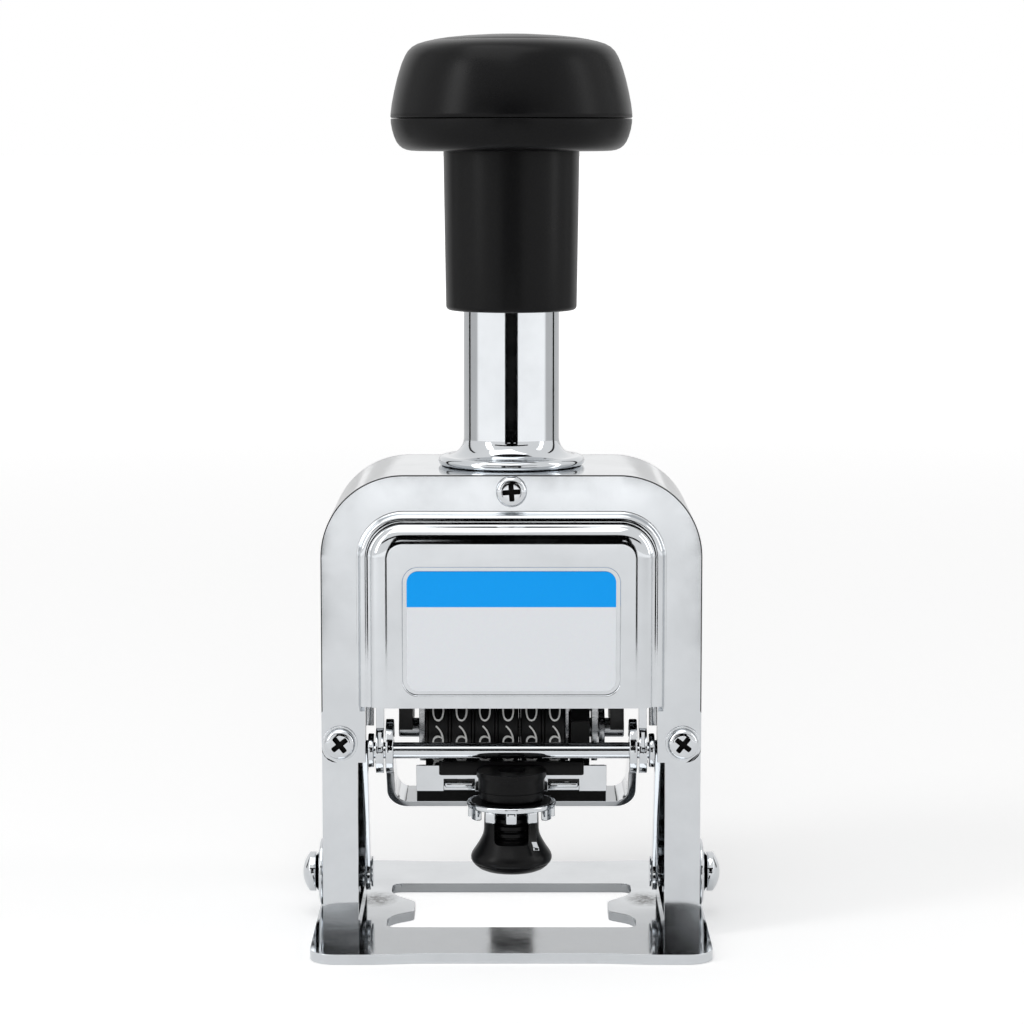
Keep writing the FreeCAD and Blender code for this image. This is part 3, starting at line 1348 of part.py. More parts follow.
# tray, felt pad, case and twist grip
tray_shelf_top = tray_shelf + tray_wall
tray_lip_top = tray_floor_top + tray_lip
tray_window_top = tray_shelf + tray_window_height
tray = new_body("pad_tray")
slab(tray, "tray_bent_sheet", "YZ_Plane", outline([
    (tray_riser, tray_bottom), (tray_back, tray_bottom), (tray_back, tray_lip_top),
    (tray_back - tray_wall, tray_lip_top), (tray_back - tray_wall, tray_floor_top),
    (tray_riser + tray_wall, tray_floor_top), (tray_riser + tray_wall, tray_shelf_top),
    (tray_front + tray_wall, tray_shelf_top), (tray_front + tray_wall, tray_front_top),
    (tray_front, tray_front_top), (tray_front, tray_shelf), (tray_riser, tray_shelf)]),
    -tray_half_width, tray_half_width)
slab(tray, "tray_windows", "XZ_Plane", lambda sketch: [draw_squared(sketch, [
    (side * tray_window_x - tray_window_half, tray_shelf),
    (side * tray_window_x + tray_window_half, tray_shelf),
    (side * tray_window_x + tray_window_half, tray_window_top),
    (side * tray_window_x - tray_window_half, tray_window_top)]) for side in (-1, 1)],
    tray_front, tray_front + tray_wall, cuts=True)
register("pad_tray", tray)
register("ink_pad", block("ink_pad_felt", (-pad_half_width, -pad_depth / 2, tray_floor_top),
                          (pad_half_width, pad_depth / 2, pad_top)))

case = new_body("pad_case")
slab(case, "case_block", "XY_Plane", squared([
    (-case_half_width, case_front, case_corner), (case_half_width, case_front, case_corner),
    (case_half_width, tray_front), (-case_half_width, tray_front)]),
    case_bottom, case_bottom + case_height)
slab(case, "case_socket", "XY_Plane", circles([(0, grip_y)], socket_radius),
     ring_top + socket_ring_gap, case_bottom + socket_embed)
slab(case, "case_stem_bore", "XY_Plane", circles([(0, grip_y)], stem_radius + stem_running_gap),
     ring_top + socket_ring_gap, case_bottom + case_height - case_roof, cuts=True)
register("pad_case", case)

# castellated ring: a flat washer with teeth that hang from its rim
ring = new_body("lock_ring")
slab(ring, "ring_disc", "XY_Plane", circles([(0, 0)], ring_radius),
     ring_bottom, ring_top)
tooth_out = ring_radius - ring_tooth_inset
tooth_in = tooth_out - ring_tooth_thickness
tooth = slab(ring, "ring_tooth", "XY_Plane", squared([
    (tooth_in, -ring_tooth_half_width), (tooth_out, -ring_tooth_half_width),
    (tooth_out, ring_tooth_half_width), (tooth_in, ring_tooth_half_width)]),
    ring_bottom - ring_tooth_drop, ring_bottom + ring_tooth_embed)
teeth = ring.newObject("PartDesign::PolarPattern", "ring_teeth")
teeth.Originals = [tooth]
teeth.Axis = (plane_of(ring, "Z_Axis"), [""])
teeth.Angle = 360
teeth.Occurrences = int(ring_teeth.number)
ring.Tip = teeth
document.recompute()
slab(ring, "ring_bore", "XY_Plane", circles([(0, 0)], stem_radius),
     ring_bottom, ring_top, cuts=True)
place(ring, 0, grip_y, 0)
register("lock_ring", ring)

# grip: rounded foot, flare, waist and neck under the ring, and the stem through it
stem_top = case_bottom + stem_reach
grip = turned("pad_knob", [
    (0, grip_bottom), (foot_flat_radius, grip_bottom, foot_dome_radius, "right"),
    (foot_edge_radius, grip_bottom + foot_edge_rise, foot_edge_round, "right"),
    (flare_radius, grip_bottom + flare_rise, flare_round_over, "right"),
    (waist_radius, grip_bottom + waist_rise, flare_round_over, "left"),
    (neck_radius, grip_bottom + neck_rise), (neck_radius, ring_bottom),
    (stem_radius, ring_bottom), (stem_radius, stem_top), (0, stem_top)])
recess_low = grip_bottom + recess_rise
recess_high = ring_bottom - recess_below_ring
slab(grip, "grip_recess", "XZ_Plane", squared([
    (-recess_half, recess_low, recess_round), (recess_half, recess_low, recess_round),
    (recess_half, recess_high, recess_round), (-recess_half, recess_high, recess_round)]),
    -flare_radius - PAST, -recess_floor, cuts=True)
place(grip, 0, grip_y, 0)
register("pad_knob", grip)
latch = new_body("knob_latch")
leaf_front = recess_floor + latch_thickness
leaf_top = ring_bottom - latch_top_gap
leaf_bend = ring_bottom - latch_bend_below_ring
slab(latch, "latch_leaf", "YZ_Plane", outline([
    (-recess_floor, leaf_top), (-recess_floor, leaf_bend, latch_curve, "right"),
    (-latch_tip_reach, grip_bottom + latch_tip_rise),
    (-latch_tip_reach - latch_thickness + latch_tip_lift / 2,
     grip_bottom + latch_tip_rise + latch_tip_lift, latch_curve + latch_thickness, "left"),
    (-leaf_front, leaf_bend + latch_tip_lift * 2), (-leaf_front, leaf_top)]),
    -latch_half_width, latch_half_width)
place(latch, 0, grip_y, 0)
register("knob_latch", latch)

# side levers and their studs
# Each lever turns on the inner end of a stud. Its fork works on the crank pin.
pin_reach = math.hypot(crank_y.number, crank_z.number - stud_height.number)
lever_angle = math.degrees(math.atan2(crank_z.number - stud_height.number, crank_y.number))
shortest_reach = math.hypot(axle_y.number, axle_height.number - stud_height.number) \
    - crank_length.number
for side, word in ((-1, "left"), (1, "right")):
    body = new_body(f"side_lever_{word}")
    tip = pin_reach + lever_tip
    slab(body, f"lever_bar_{word}", "XY_Plane", squared([
        (0, -lever_half_width), (tip, -lever_half_width, lever_tip_round),
        (tip, lever_half_width, lever_tip_round), (0, lever_half_width)]),
        0, lever_thickness)
    slab(body, f"lever_eye_{word}", "XY_Plane",
         circles([(0, 0)], stud_shoulder_radius + lever_eye_margin), 0, lever_thickness)
    fork_bottom = shortest_reach - crank_pin_radius - lever_fork_wall
    slab(body, f"lever_fork_{word}", "XY_Plane", squared([
        (fork_bottom, -lever_slot_half_width), (tip + PAST, -lever_slot_half_width),
        (tip + PAST, lever_slot_half_width), (fork_bottom, lever_slot_half_width)]),
        0, lever_thickness, cuts=True)
    slab(body, f"lever_bore_{word}", "XY_Plane",
         circles([(0, 0)], stud_radius + lever_running_gap), 0, lever_thickness, cuts=True)
    # the lever's own X runs up the bar, and its own Z runs towards +X
    upright = FreeCAD.Rotation(FreeCAD.Vector(1, 0, 0), lever_angle).multiply(
        FreeCAD.Rotation(FreeCAD.Vector(0, 1, 0), FreeCAD.Vector(0, 0, 1),
                         FreeCAD.Vector(1, 0, 0), "XYZ"))
    place(body, lever_inside if side > 0 else -lever_outside, 0, stud_height, upright)
    register(f"side_lever_{word}", body)

stud_inner = lever_inside - side_gap - stud_end_gap
disc_outside = half_width + disc_height
stud_dome = sphere_radius(stud_head_radius, stud_head_height - stud_head_wall)
for side, word in ((-1, "left"), (1, "right")):
    stud = turned(f"side_stud_{word}", [
        (0, stud_inner), (stud_shoulder_radius, stud_inner),
        (stud_shoulder_radius, lever_inside - stud_end_gap),
        (stud_radius, lever_inside - stud_end_gap),
        (stud_radius, lever_outside + stud_end_gap),
        (stud_shoulder_radius, lever_outside + stud_end_gap),
        (stud_shoulder_radius, web_inside), (stud_radius, web_inside),
        (stud_radius, disc_outside), (stud_head_radius, disc_outside),
        (stud_head_radius, disc_outside + stud_head_wall, stud_dome, "right"),
        (0, disc_outside + stud_head_height)])
    place(stud, 0, 0, stud_height, ALONG["x"] if side > 0 else ALONG["-x"])
    register(f"side_stud_{word}", stud)
    dish = turned(f"side_disc_{word}", [
        (stud_radius, half_width), (disc_radius - disc_foot_inset, half_width),
        (disc_radius, half_width + disc_rim_low), (disc_radius, half_width + disc_rim_high),
        (disc_radius - disc_slope_inset, half_width + disc_slope_high),
        (disc_radius - disc_dish_inset, disc_outside - disc_dish_drop),
        (stud_radius + disc_collar, disc_outside), (stud_radius, disc_outside)])
    place(dish, 0, 0, stud_height, ALONG["x"] if side > 0 else ALONG["-x"])
    register(f"side_disc_{word}", dish)

# check every object, then write one file for each node
document.recompute()
for thing in document.Objects:
    if "Invalid" in thing.State or "Error" in thing.State:
        raise RuntimeError(f"{thing.Name} failed: {thing.State}")
os.makedirs("parts", exist_ok=True)
for label_text, thing in nodes:
    shape = thing.Shape
    if shape.isNull() or not shape.isValid() or not shape.Solids:
        raise RuntimeError(f"{label_text} has no valid solid")
    shape.exportStep(f"parts/{label_text}.step")
print(f"{len(nodes)} nodes written")
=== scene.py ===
import math

import bpy
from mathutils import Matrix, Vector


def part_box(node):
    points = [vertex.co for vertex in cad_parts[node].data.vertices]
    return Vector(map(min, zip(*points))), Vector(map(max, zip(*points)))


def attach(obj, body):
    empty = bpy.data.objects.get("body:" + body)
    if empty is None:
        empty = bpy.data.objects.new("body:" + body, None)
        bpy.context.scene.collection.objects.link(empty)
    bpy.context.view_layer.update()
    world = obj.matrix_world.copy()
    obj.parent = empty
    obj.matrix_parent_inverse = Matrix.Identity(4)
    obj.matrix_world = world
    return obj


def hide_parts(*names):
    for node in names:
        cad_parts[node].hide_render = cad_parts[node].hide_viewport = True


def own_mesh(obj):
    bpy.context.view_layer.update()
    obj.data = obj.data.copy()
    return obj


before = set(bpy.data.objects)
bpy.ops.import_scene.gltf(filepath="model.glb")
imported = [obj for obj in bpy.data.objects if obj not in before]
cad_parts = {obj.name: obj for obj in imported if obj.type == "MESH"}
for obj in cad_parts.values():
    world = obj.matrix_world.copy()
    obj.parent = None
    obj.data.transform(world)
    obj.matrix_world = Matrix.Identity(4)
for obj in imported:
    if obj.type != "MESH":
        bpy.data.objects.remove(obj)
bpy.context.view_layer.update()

MM = 0.001


# Camera: a long lens in front of the machine and a little above it, looking
# down by 6.8 degrees, as the photograph does.
camera = bpy.data.objects.new("camera", bpy.data.cameras.new("camera"))
bpy.context.scene.collection.objects.link(camera)
camera.location = (0.09 * MM, -493.8 * MM, 122.7 * MM)
camera.rotation_euler = (math.pi / 2 - 0.1186, 0.0, 0.0)
camera.data.sensor_width = 36.0
camera.data.lens = 112.5
bpy.context.scene.camera = camera
bpy.context.scene.view_settings.view_transform = "Standard"


# Studio: a white floor and a white surround, one broad softbox above, one on
# the left and a narrower one on the right. Dark cards that only reflections
# see give the chrome the black lines that it has in any studio.
def hide_from_all_but_reflections(card):
    card.visible_camera = False
    card.visible_diffuse = False
    card.visible_shadow = False
    card.visible_transmission = False


def add(tree, kind, inputs=None, **settings):
    """Add one node with its settings, its values and its links."""
    node = tree.nodes.new(kind)
    for key, value in settings.items():
        setattr(node, key, value)
    for socket, value in (inputs or {}).items():
        if isinstance(value, bpy.types.NodeSocket):
            tree.links.new(value, node.inputs[socket])
        else:
            node.inputs[socket].default_value = value
    return node


def linear(code):
    """The linear colour of an sRGB hex value."""
    parts = [int(code[i:i + 2], 16) / 255 for i in (1, 3, 5)]
    return tuple(c / 12.92 if c < 0.04045 else ((c + 0.055) / 1.055) ** 2.4 for c in parts) + (1.0,)


def new_finish(name):
    """A material with its tree, its shader and the place on the piece."""
    material = bpy.data.materials.new(name)
    material.use_nodes = True
    tree = material.node_tree
    place = add(tree, "ShaderNodeTexCoord").outputs["Object"]
    return material, tree, tree.nodes["Principled BSDF"], place


world = bpy.data.worlds.new("white_surround")
bpy.context.scene.world = world
world.use_nodes = True
surround = world.node_tree
path = add(surround, "ShaderNodeLightPath")
seen = add(surround, "ShaderNodeMath", {0: path.outputs["Is Camera Ray"], 1: path.outputs["Is Glossy Ray"]},
    operation="ADD")
seen = add(surround, "ShaderNodeMath", {0: seen.outputs[0], 1: path.outputs["Is Transmission Ray"]},
    operation="ADD")
level = add(surround, "ShaderNodeMapRange", {"Value": seen.outputs[0], "To Min": 0.45, "To Max": 1.0})
surround.nodes["Background"].inputs["Color"].default_value = (1.0, 1.0, 1.0, 1.0)
surround.links.new(level.outputs[0], surround.nodes["Background"].inputs["Strength"])

bpy.ops.object.select_all(action="DESELECT")
bpy.ops.mesh.primitive_plane_add(size=30.0, location=(0.0, 0.0, -0.05 * MM))
floor = bpy.context.object
floor.name = "studio_floor"
# Painted plywood floor: matt white, lit by the lamps, with its shadow kept in front of the machine; it also
# glows with painted light that clears the shade under the machine in the print window, and with a painted
# reflection glow for the chrome.
floor_paint_with_painted_glow, tree, shader, place = new_finish("matt_white_floor_paint_with_painted_glow")
shader.inputs["Base Color"].default_value = linear("#F2F2F2")
shader.inputs["Roughness"].default_value = 0.9
path = add(tree, "ShaderNodeLightPath")
far = add(tree, "ShaderNodeVectorMath", {0: place}, operation="LENGTH")
# Painted light: the camera sees a strong glow inside the print window that paints out the shade under the
# machine, a weaker one beside the plate, and more again far out where the lamps fall off.
painted_light_in_window = add(tree, "ShaderNodeMapRange", {"Value": far.outputs["Value"], "From Min": 24 * MM,
    "From Max": 29 * MM, "To Min": 0.72, "To Max": 0.24})
far_lift = add(tree, "ShaderNodeMapRange", {"Value": far.outputs["Value"], "From Min": 0.1, "From Max": 1.6,
    "To Min": 0.0, "To Max": 0.55})
camera_glow_with_painted_light = add(tree, "ShaderNodeMath", {0: painted_light_in_window.outputs[0], 1: far_lift.outputs[0]}, operation="ADD")
mirrored = add(tree, "ShaderNodeMath", {0: path.outputs["Is Glossy Ray"],
    1: path.outputs["Is Transmission Ray"]}, operation="ADD", use_clamp=True)
ahead = add(tree, "ShaderNodeSeparateXYZ", {"Vector": place})
# Painted reflection: reflections see the floor glow brighter in its front half and farther out than the lamps
# light it.
painted_reflection_in_front = add(tree, "ShaderNodeMapRange", {"Value": ahead.outputs["Y"], "From Min": 0.1, "From Max": -0.1,
    "To Min": 0.0, "To Max": 0.72})
spread = add(tree, "ShaderNodeMapRange", {"Value": far.outputs["Value"], "From Min": 0.62, "From Max": 0.95})
painted_reflection_glow = add(tree, "ShaderNodeMath", {0: spread.outputs[0], 1: painted_reflection_in_front.outputs[0], 2: 0.2},
    operation="MULTIPLY_ADD")
reflected_painted_glow = add(tree, "ShaderNodeMath", {0: mirrored.outputs[0], 1: painted_reflection_glow.outputs[0]}, operation="MULTIPLY")
clear = add(tree, "ShaderNodeMath", {0: path.outputs["Is Camera Ray"], 1: camera_glow_with_painted_light.outputs[0]},
    operation="MULTIPLY")
floor_glow_with_painted_light = add(tree, "ShaderNodeMath", {0: clear.outputs[0], 1: reflected_painted_glow.outputs[0]}, operation="ADD")
shader.inputs["Emission Color"].default_value = (1.0, 1.0, 1.0, 1.0)
tree.links.new(floor_glow_with_painted_light.outputs[0], shader.inputs["Emission Strength"])
floor.data.materials.append(floor_paint_with_painted_glow)

for name, place_mm, aim_mm, size_mm, watts in (
    ("softbox_above", (-120, -200, 760), (0, 0, 60), (620, 620), 1.9),
    ("softbox_left", (-520, -330, 330), (0, 0, 90), (170, 460), 0.9),
    ("fill_front", (0, -780, 250), (0, 0, 35), (260, 160), 1.0),
    ("softbox_right", (560, -120, 300), (0, 0, 90), (110, 460), 0.45),
):
    lamp = bpy.data.objects.new(name, bpy.data.lights.new(name, "AREA"))
    bpy.context.scene.collection.objects.link(lamp)
    lamp.data.shape = "RECTANGLE"
    lamp.data.size, lamp.data.size_y = size_mm[0] * MM, size_mm[1] * MM
    lamp.data.energy = watts
    lamp.location = [v * MM for v in place_mm]
    towards = lamp.location.copy()
    for i in range(3):
        towards[i] = aim_mm[i] * MM - lamp.location[i]
    lamp.rotation_euler = towards.to_track_quat("-Z", "Y").to_euler()
    lamp.visible_glossy = name != "fill_front"

black_board, tree, shader, place = new_finish("black_card")
shader.inputs["Base Color"].default_value = linear("#050505")
shader.inputs["Roughness"].default_value = 1.0
shader.inputs["Specular IOR Level"].default_value = 0.0
grey_board, tree, shader, place = new_finish("grey_card")
shader.inputs["Base Color"].default_value = linear("#E6E6E6")
shader.inputs["Roughness"].default_value = 1.0
for name, bearing, distance, width, low, high in (
    ("card_front", 1.5, 620, 300, 24, 125),
    ("card_front_middle", 1.5, 620, 90, 125, 152),
    ("card_front_upper", 1.5, 620, 300, 152, 330),
    ("card_low_left", -12.7, 301, 28, 0, 150),
    ("card_low_right", 12.7, 301, 28, 0, 150),
    ("grey_card_behind", 180, 300, 420, 77, 96),
    ("card_small_behind", 180, 297, 11, 78, 93),
    ("card_left", -120, 330, 44, 0, 400),
    ("card_right", 122, 330, 44, 0, 400),
    ("card_front_high", 0, 520, 900, 250, 330),
):
    turn = math.radians(bearing)
    bpy.ops.mesh.primitive_plane_add(size=1.0, rotation=(math.pi / 2, 0.0, turn), location=(
        distance * math.sin(turn) * MM, -distance * math.cos(turn) * MM, (low + high) / 2 * MM))
    card = bpy.context.object
    card.name = name
    card.scale = (width * MM, (high - low) * MM, 1.0)
    card.data.materials.append(grey_board if name.startswith("grey") else black_board)
    hide_from_all_but_reflections(card)


# Base plate: one blanked steel plate with a print window and two centring
# pointers, its edges rolled over by the press, polished and chromed.
def start_editing(piece, pick="SELECT"):
    if bpy.context.mode != "OBJECT":
        bpy.ops.object.mode_set(mode="OBJECT")
    bpy.ops.object.select_all(action="DESELECT")
    bpy.context.view_layer.objects.active = piece
    piece.select_set(True)
    bpy.ops.object.mode_set(mode="EDIT")
    bpy.ops.mesh.select_mode(type="VERT")
    bpy.ops.mesh.select_all(action=pick)


def pick_edges(piece, test):
    """Select the edges whose two ends pass a test, in millimetres."""
    start_editing(piece, "DESELECT")
    bpy.ops.mesh.select_mode(type="EDGE")
    bpy.ops.object.mode_set(mode="OBJECT")
    for edge in piece.data.edges:
        ends = [[v / MM for v in piece.data.vertices[i].co] for i in edge.vertices]
        edge.select = test(ends[0], ends[1])
    bpy.ops.object.mode_set(mode="EDIT")


def finish_piece(piece, body, material, nodes=(), angle=35.0, flat=True):
    """Shade a piece, give it its finish, and fasten it to its body."""
    bpy.ops.object.mode_set(mode="OBJECT")
    bpy.ops.object.select_all(action="DESELECT")
    bpy.context.view_layer.objects.active = piece
    piece.select_set(True)
    bpy.ops.object.transform_apply(location=True, rotation=True, scale=True)
    bpy.ops.object.shade_smooth_by_angle(angle=math.radians(angle))
    if flat:
        even = piece.modifiers.new("even", "WEIGHTED_NORMAL")
        even.keep_sharp = True
        even.weight = 80
        bpy.ops.object.modifier_apply(modifier="even")
    if material:
        piece.data.materials.clear()
        piece.data.materials.append(material)
    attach(piece, body)
    if nodes:
        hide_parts(*nodes)
    return piece


def merged_copy(name, node):
    """A copy of a node's solid with its loose triangles merged to faces."""
    piece = bpy.data.objects.new(name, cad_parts[node].data.copy())
    bpy.context.scene.collection.objects.link(piece)
    start_editing(piece)
    bpy.ops.mesh.remove_doubles(threshold=0.002 * MM)
    bpy.ops.mesh.dissolve_limited(angle_limit=math.radians(1.0))
    bpy.ops.object.mode_set(mode="OBJECT")
    return piece


def broken_edges(piece, width, angle=38.0, segments=2):
    """Break the sharp edges of a pressed or turned piece."""
    edge = piece.modifiers.new("edge", "BEVEL")
    edge.width = width * MM
    edge.segments = segments
    edge.limit_method = "ANGLE"
    edge.angle_limit = math.radians(angle)
    edge.use_clamp_overlap = True
    bpy.context.view_layer.objects.active = piece
    bpy.ops.object.modifier_apply(modifier="edge")


def dressed(name, node, body, material, width=0.1, angle=38.0):
    """A node's merged copy with broken edges, in place of the node."""
    piece = merged_copy(name, node)
    if width:
        broken_edges(piece, width, angle)
    return finish_piece(piece, body, material, [node])


# Bright chrome plating on polished steel: a clear mirror that is a little
# soft, with faint wipe marks 9 mm apart and hardly any colour of its own.
chrome, tree, shader, place = new_finish("bright_chrome_plating")
wipe = add(tree, "ShaderNodeTexNoise", {"Vector": place, "Scale": 1 / (9 * MM), "Detail": 4.0,
    "Roughness": 0.6})
gloss = add(tree, "ShaderNodeMapRange", {"Value": wipe.outputs[0], "From Min": 0.3, "From Max": 0.75,
    "To Min": 0.045, "To Max": 0.11})
tree.links.new(gloss.outputs[0], shader.inputs["Roughness"])
tone = add(tree, "ShaderNodeMapRange", {"Value": wipe.outputs[0], "From Min": 0.3, "From Max": 0.7})
tint = add(tree, "ShaderNodeMix", {"Factor": tone.outputs[0], "A": linear("#CFD2D5"), "B": linear("#C6C9CC")},
    data_type="RGBA")
tree.links.new(tint.outputs["Result"], shader.inputs["Base Color"])
swell = add(tree, "ShaderNodeTexNoise", {"Vector": place, "Scale": 1 / (14 * MM), "Detail": 1.0})
wave = add(tree, "ShaderNodeBump", {"Height": swell.outputs[0], "Strength": 0.35, "Distance": 0.05 * MM})
tree.links.new(wave.outputs[0], shader.inputs["Normal"])
shader.inputs["Metallic"].default_value = 1.0

base = merged_copy("base_plate_blank", "base_plate")
pick_edges(base, lambda a, b: abs(a[2] - b[2]) > 1.0 and 30.0 < abs(a[1]) and abs(a[0]) < 22.0)
bpy.ops.mesh.bevel(offset=2.4 * MM, segments=6)
bpy.ops.object.mode_set(mode="OBJECT")
for vertex in base.data.vertices:
    x, y = vertex.co.x / MM, vertex.co.y / MM
    if abs(x) < 15.5 and abs(y) < 5.0:
        vertex.co.y = (math.copysign(3.25, y) - 0.9) * MM
pick_edges(base, lambda a, b: abs(a[2] - b[2]) > 1.0 and 19.0 < abs(a[0]) < 19.4 and 7.0 < abs(a[1]) < 8.2)
bpy.ops.mesh.bevel(offset=2.3 * MM, segments=8)
pick_edges(base, lambda a, b: abs(a[2] - b[2]) > 1.0 and abs(a[0]) < 15.5 and abs(a[1]) < 5.0)
bpy.ops.mesh.bevel(offset=0.7 * MM, segments=3)
bpy.ops.object.mode_set(mode="OBJECT")
broken_edges(base, 0.25, segments=3)
# Worn chrome: the same plating, with specks of stamping ink and rubbed dark
# patches 5 mm wide where the feet meet the pointers.
worn_chrome = chrome.copy()
worn_chrome.name = "chrome_plating_with_ink_specks"
tree = worn_chrome.node_tree
shader = tree.nodes["Principled BSDF"]
place = add(tree, "ShaderNodeTexCoord").outputs["Object"]
ahead = add(tree, "ShaderNodeVectorMath", {0: place, 1: (0.0, 40.0 * MM, 0.0)}, operation="ADD")
fold = add(tree, "ShaderNodeVectorMath", {0: ahead.outputs[0]}, operation="ABSOLUTE")
shift = add(tree, "ShaderNodeVectorMath", {0: fold.outputs[0], 1: (21.2 * MM, 43.6 * MM, 1.5 * MM)},
    operation="SUBTRACT")
spread = add(tree, "ShaderNodeVectorMath", {0: shift.outputs[0], 1: (1.0, 0.62, 1.0)}, operation="MULTIPLY")
near = add(tree, "ShaderNodeVectorMath", {0: spread.outputs[0]}, operation="LENGTH")
patch = add(tree, "ShaderNodeMapRange", {"Value": near.outputs["Value"], "From Min": 0.9 * MM,
    "From Max": 3.4 * MM, "To Min": 0.95, "To Max": 0.0})
specks = add(tree, "ShaderNodeTexNoise", {"Vector": place, "Scale": 1 / (1.1 * MM), "Detail": 8.0,
    "Roughness": 0.85})
grit = add(tree, "ShaderNodeMapRange", {"Value": specks.outputs[0], "From Min": 0.36, "From Max": 0.6,
    "To Min": 0.1, "To Max": 1.3})
ink = add(tree, "ShaderNodeMath", {0: patch.outputs[0], 1: grit.outputs[0]}, operation="MULTIPLY",
    use_clamp=True)
plated = shader.inputs["Base Color"].links[0].from_socket
stained = add(tree, "ShaderNodeMix", {"Factor": ink.outputs[0], "A": plated, "B": linear("#1A1B1C")},
    data_type="RGBA")
tree.links.new(stained.outputs["Result"], shader.inputs["Base Color"])
finish_piece(base, "frame", worn_chrome, ["base_plate"])
dressed("base_foot_screws", "foot_screws", "frame", chrome, 0.1)


# Housing: one steel strap pressed to a channel and bent over into an arch
# with two legs, the flanges turned inward, polished and chromed.
dressed("housing_arch", "outer_frame", "frame", chrome, 0.12)
dressed("housing_rear_rod", "rear_cross_rod", "frame", chrome, 0.2)
dressed("housing_rivets", "hanger_rivets", "frame", chrome, 0.1)


# Covers: thin steel sheets pressed in two steps, the front one with a flat
# recess for the label, chromed and held by three screws each.
COVER_FACE, COVER_BOTTOM, PANEL_BOTTOM, LEG_INNER = -15.8, 27.4, 36.2, 22.1
PRESSED = ((5.4, 0.0), (5.52, 0.02), (5.64, 0.09), (5.74, 0.22), (5.81, 0.4), (5.87, 0.62), (5.97, 0.84),
    (6.12, 1.0),
           (6.34, 1.13), (6.62, 1.19), (6.9, 1.2), (7.2, 1.2), (7.36, 1.23), (7.5, 1.32), (7.61, 1.46),
               (7.74, 1.64),
           (7.93, 1.84), (8.2, 2.04), (8.55, 2.21), (8.98, 2.34), (9.45, 2.43), (9.9, 2.48), (10.3, 2.5))


# Cover rim: a dark colour on the sheared edge, painted shade standing in for the shadowed seam and the dark
# reflection there, which draws the thin black line that runs round the outside of the cover.
painted_rim_shade, tree, shader, place = new_finish("painted_shade_on_sheared_rim")
streak = add(tree, "ShaderNodeTexNoise", {"Vector": place, "Scale": 1 / (0.8 * MM), "Detail": 4.0})
drawn = add(tree, "ShaderNodeMapRange", {"Value": streak.outputs[0], "To Min": 0.35, "To Max": 0.6})
tree.links.new(drawn.outputs[0], shader.inputs["Roughness"])
shader.inputs["Base Color"].default_value = linear("#1C1C1D")
shader.inputs["Metallic"].default_value = 0.6


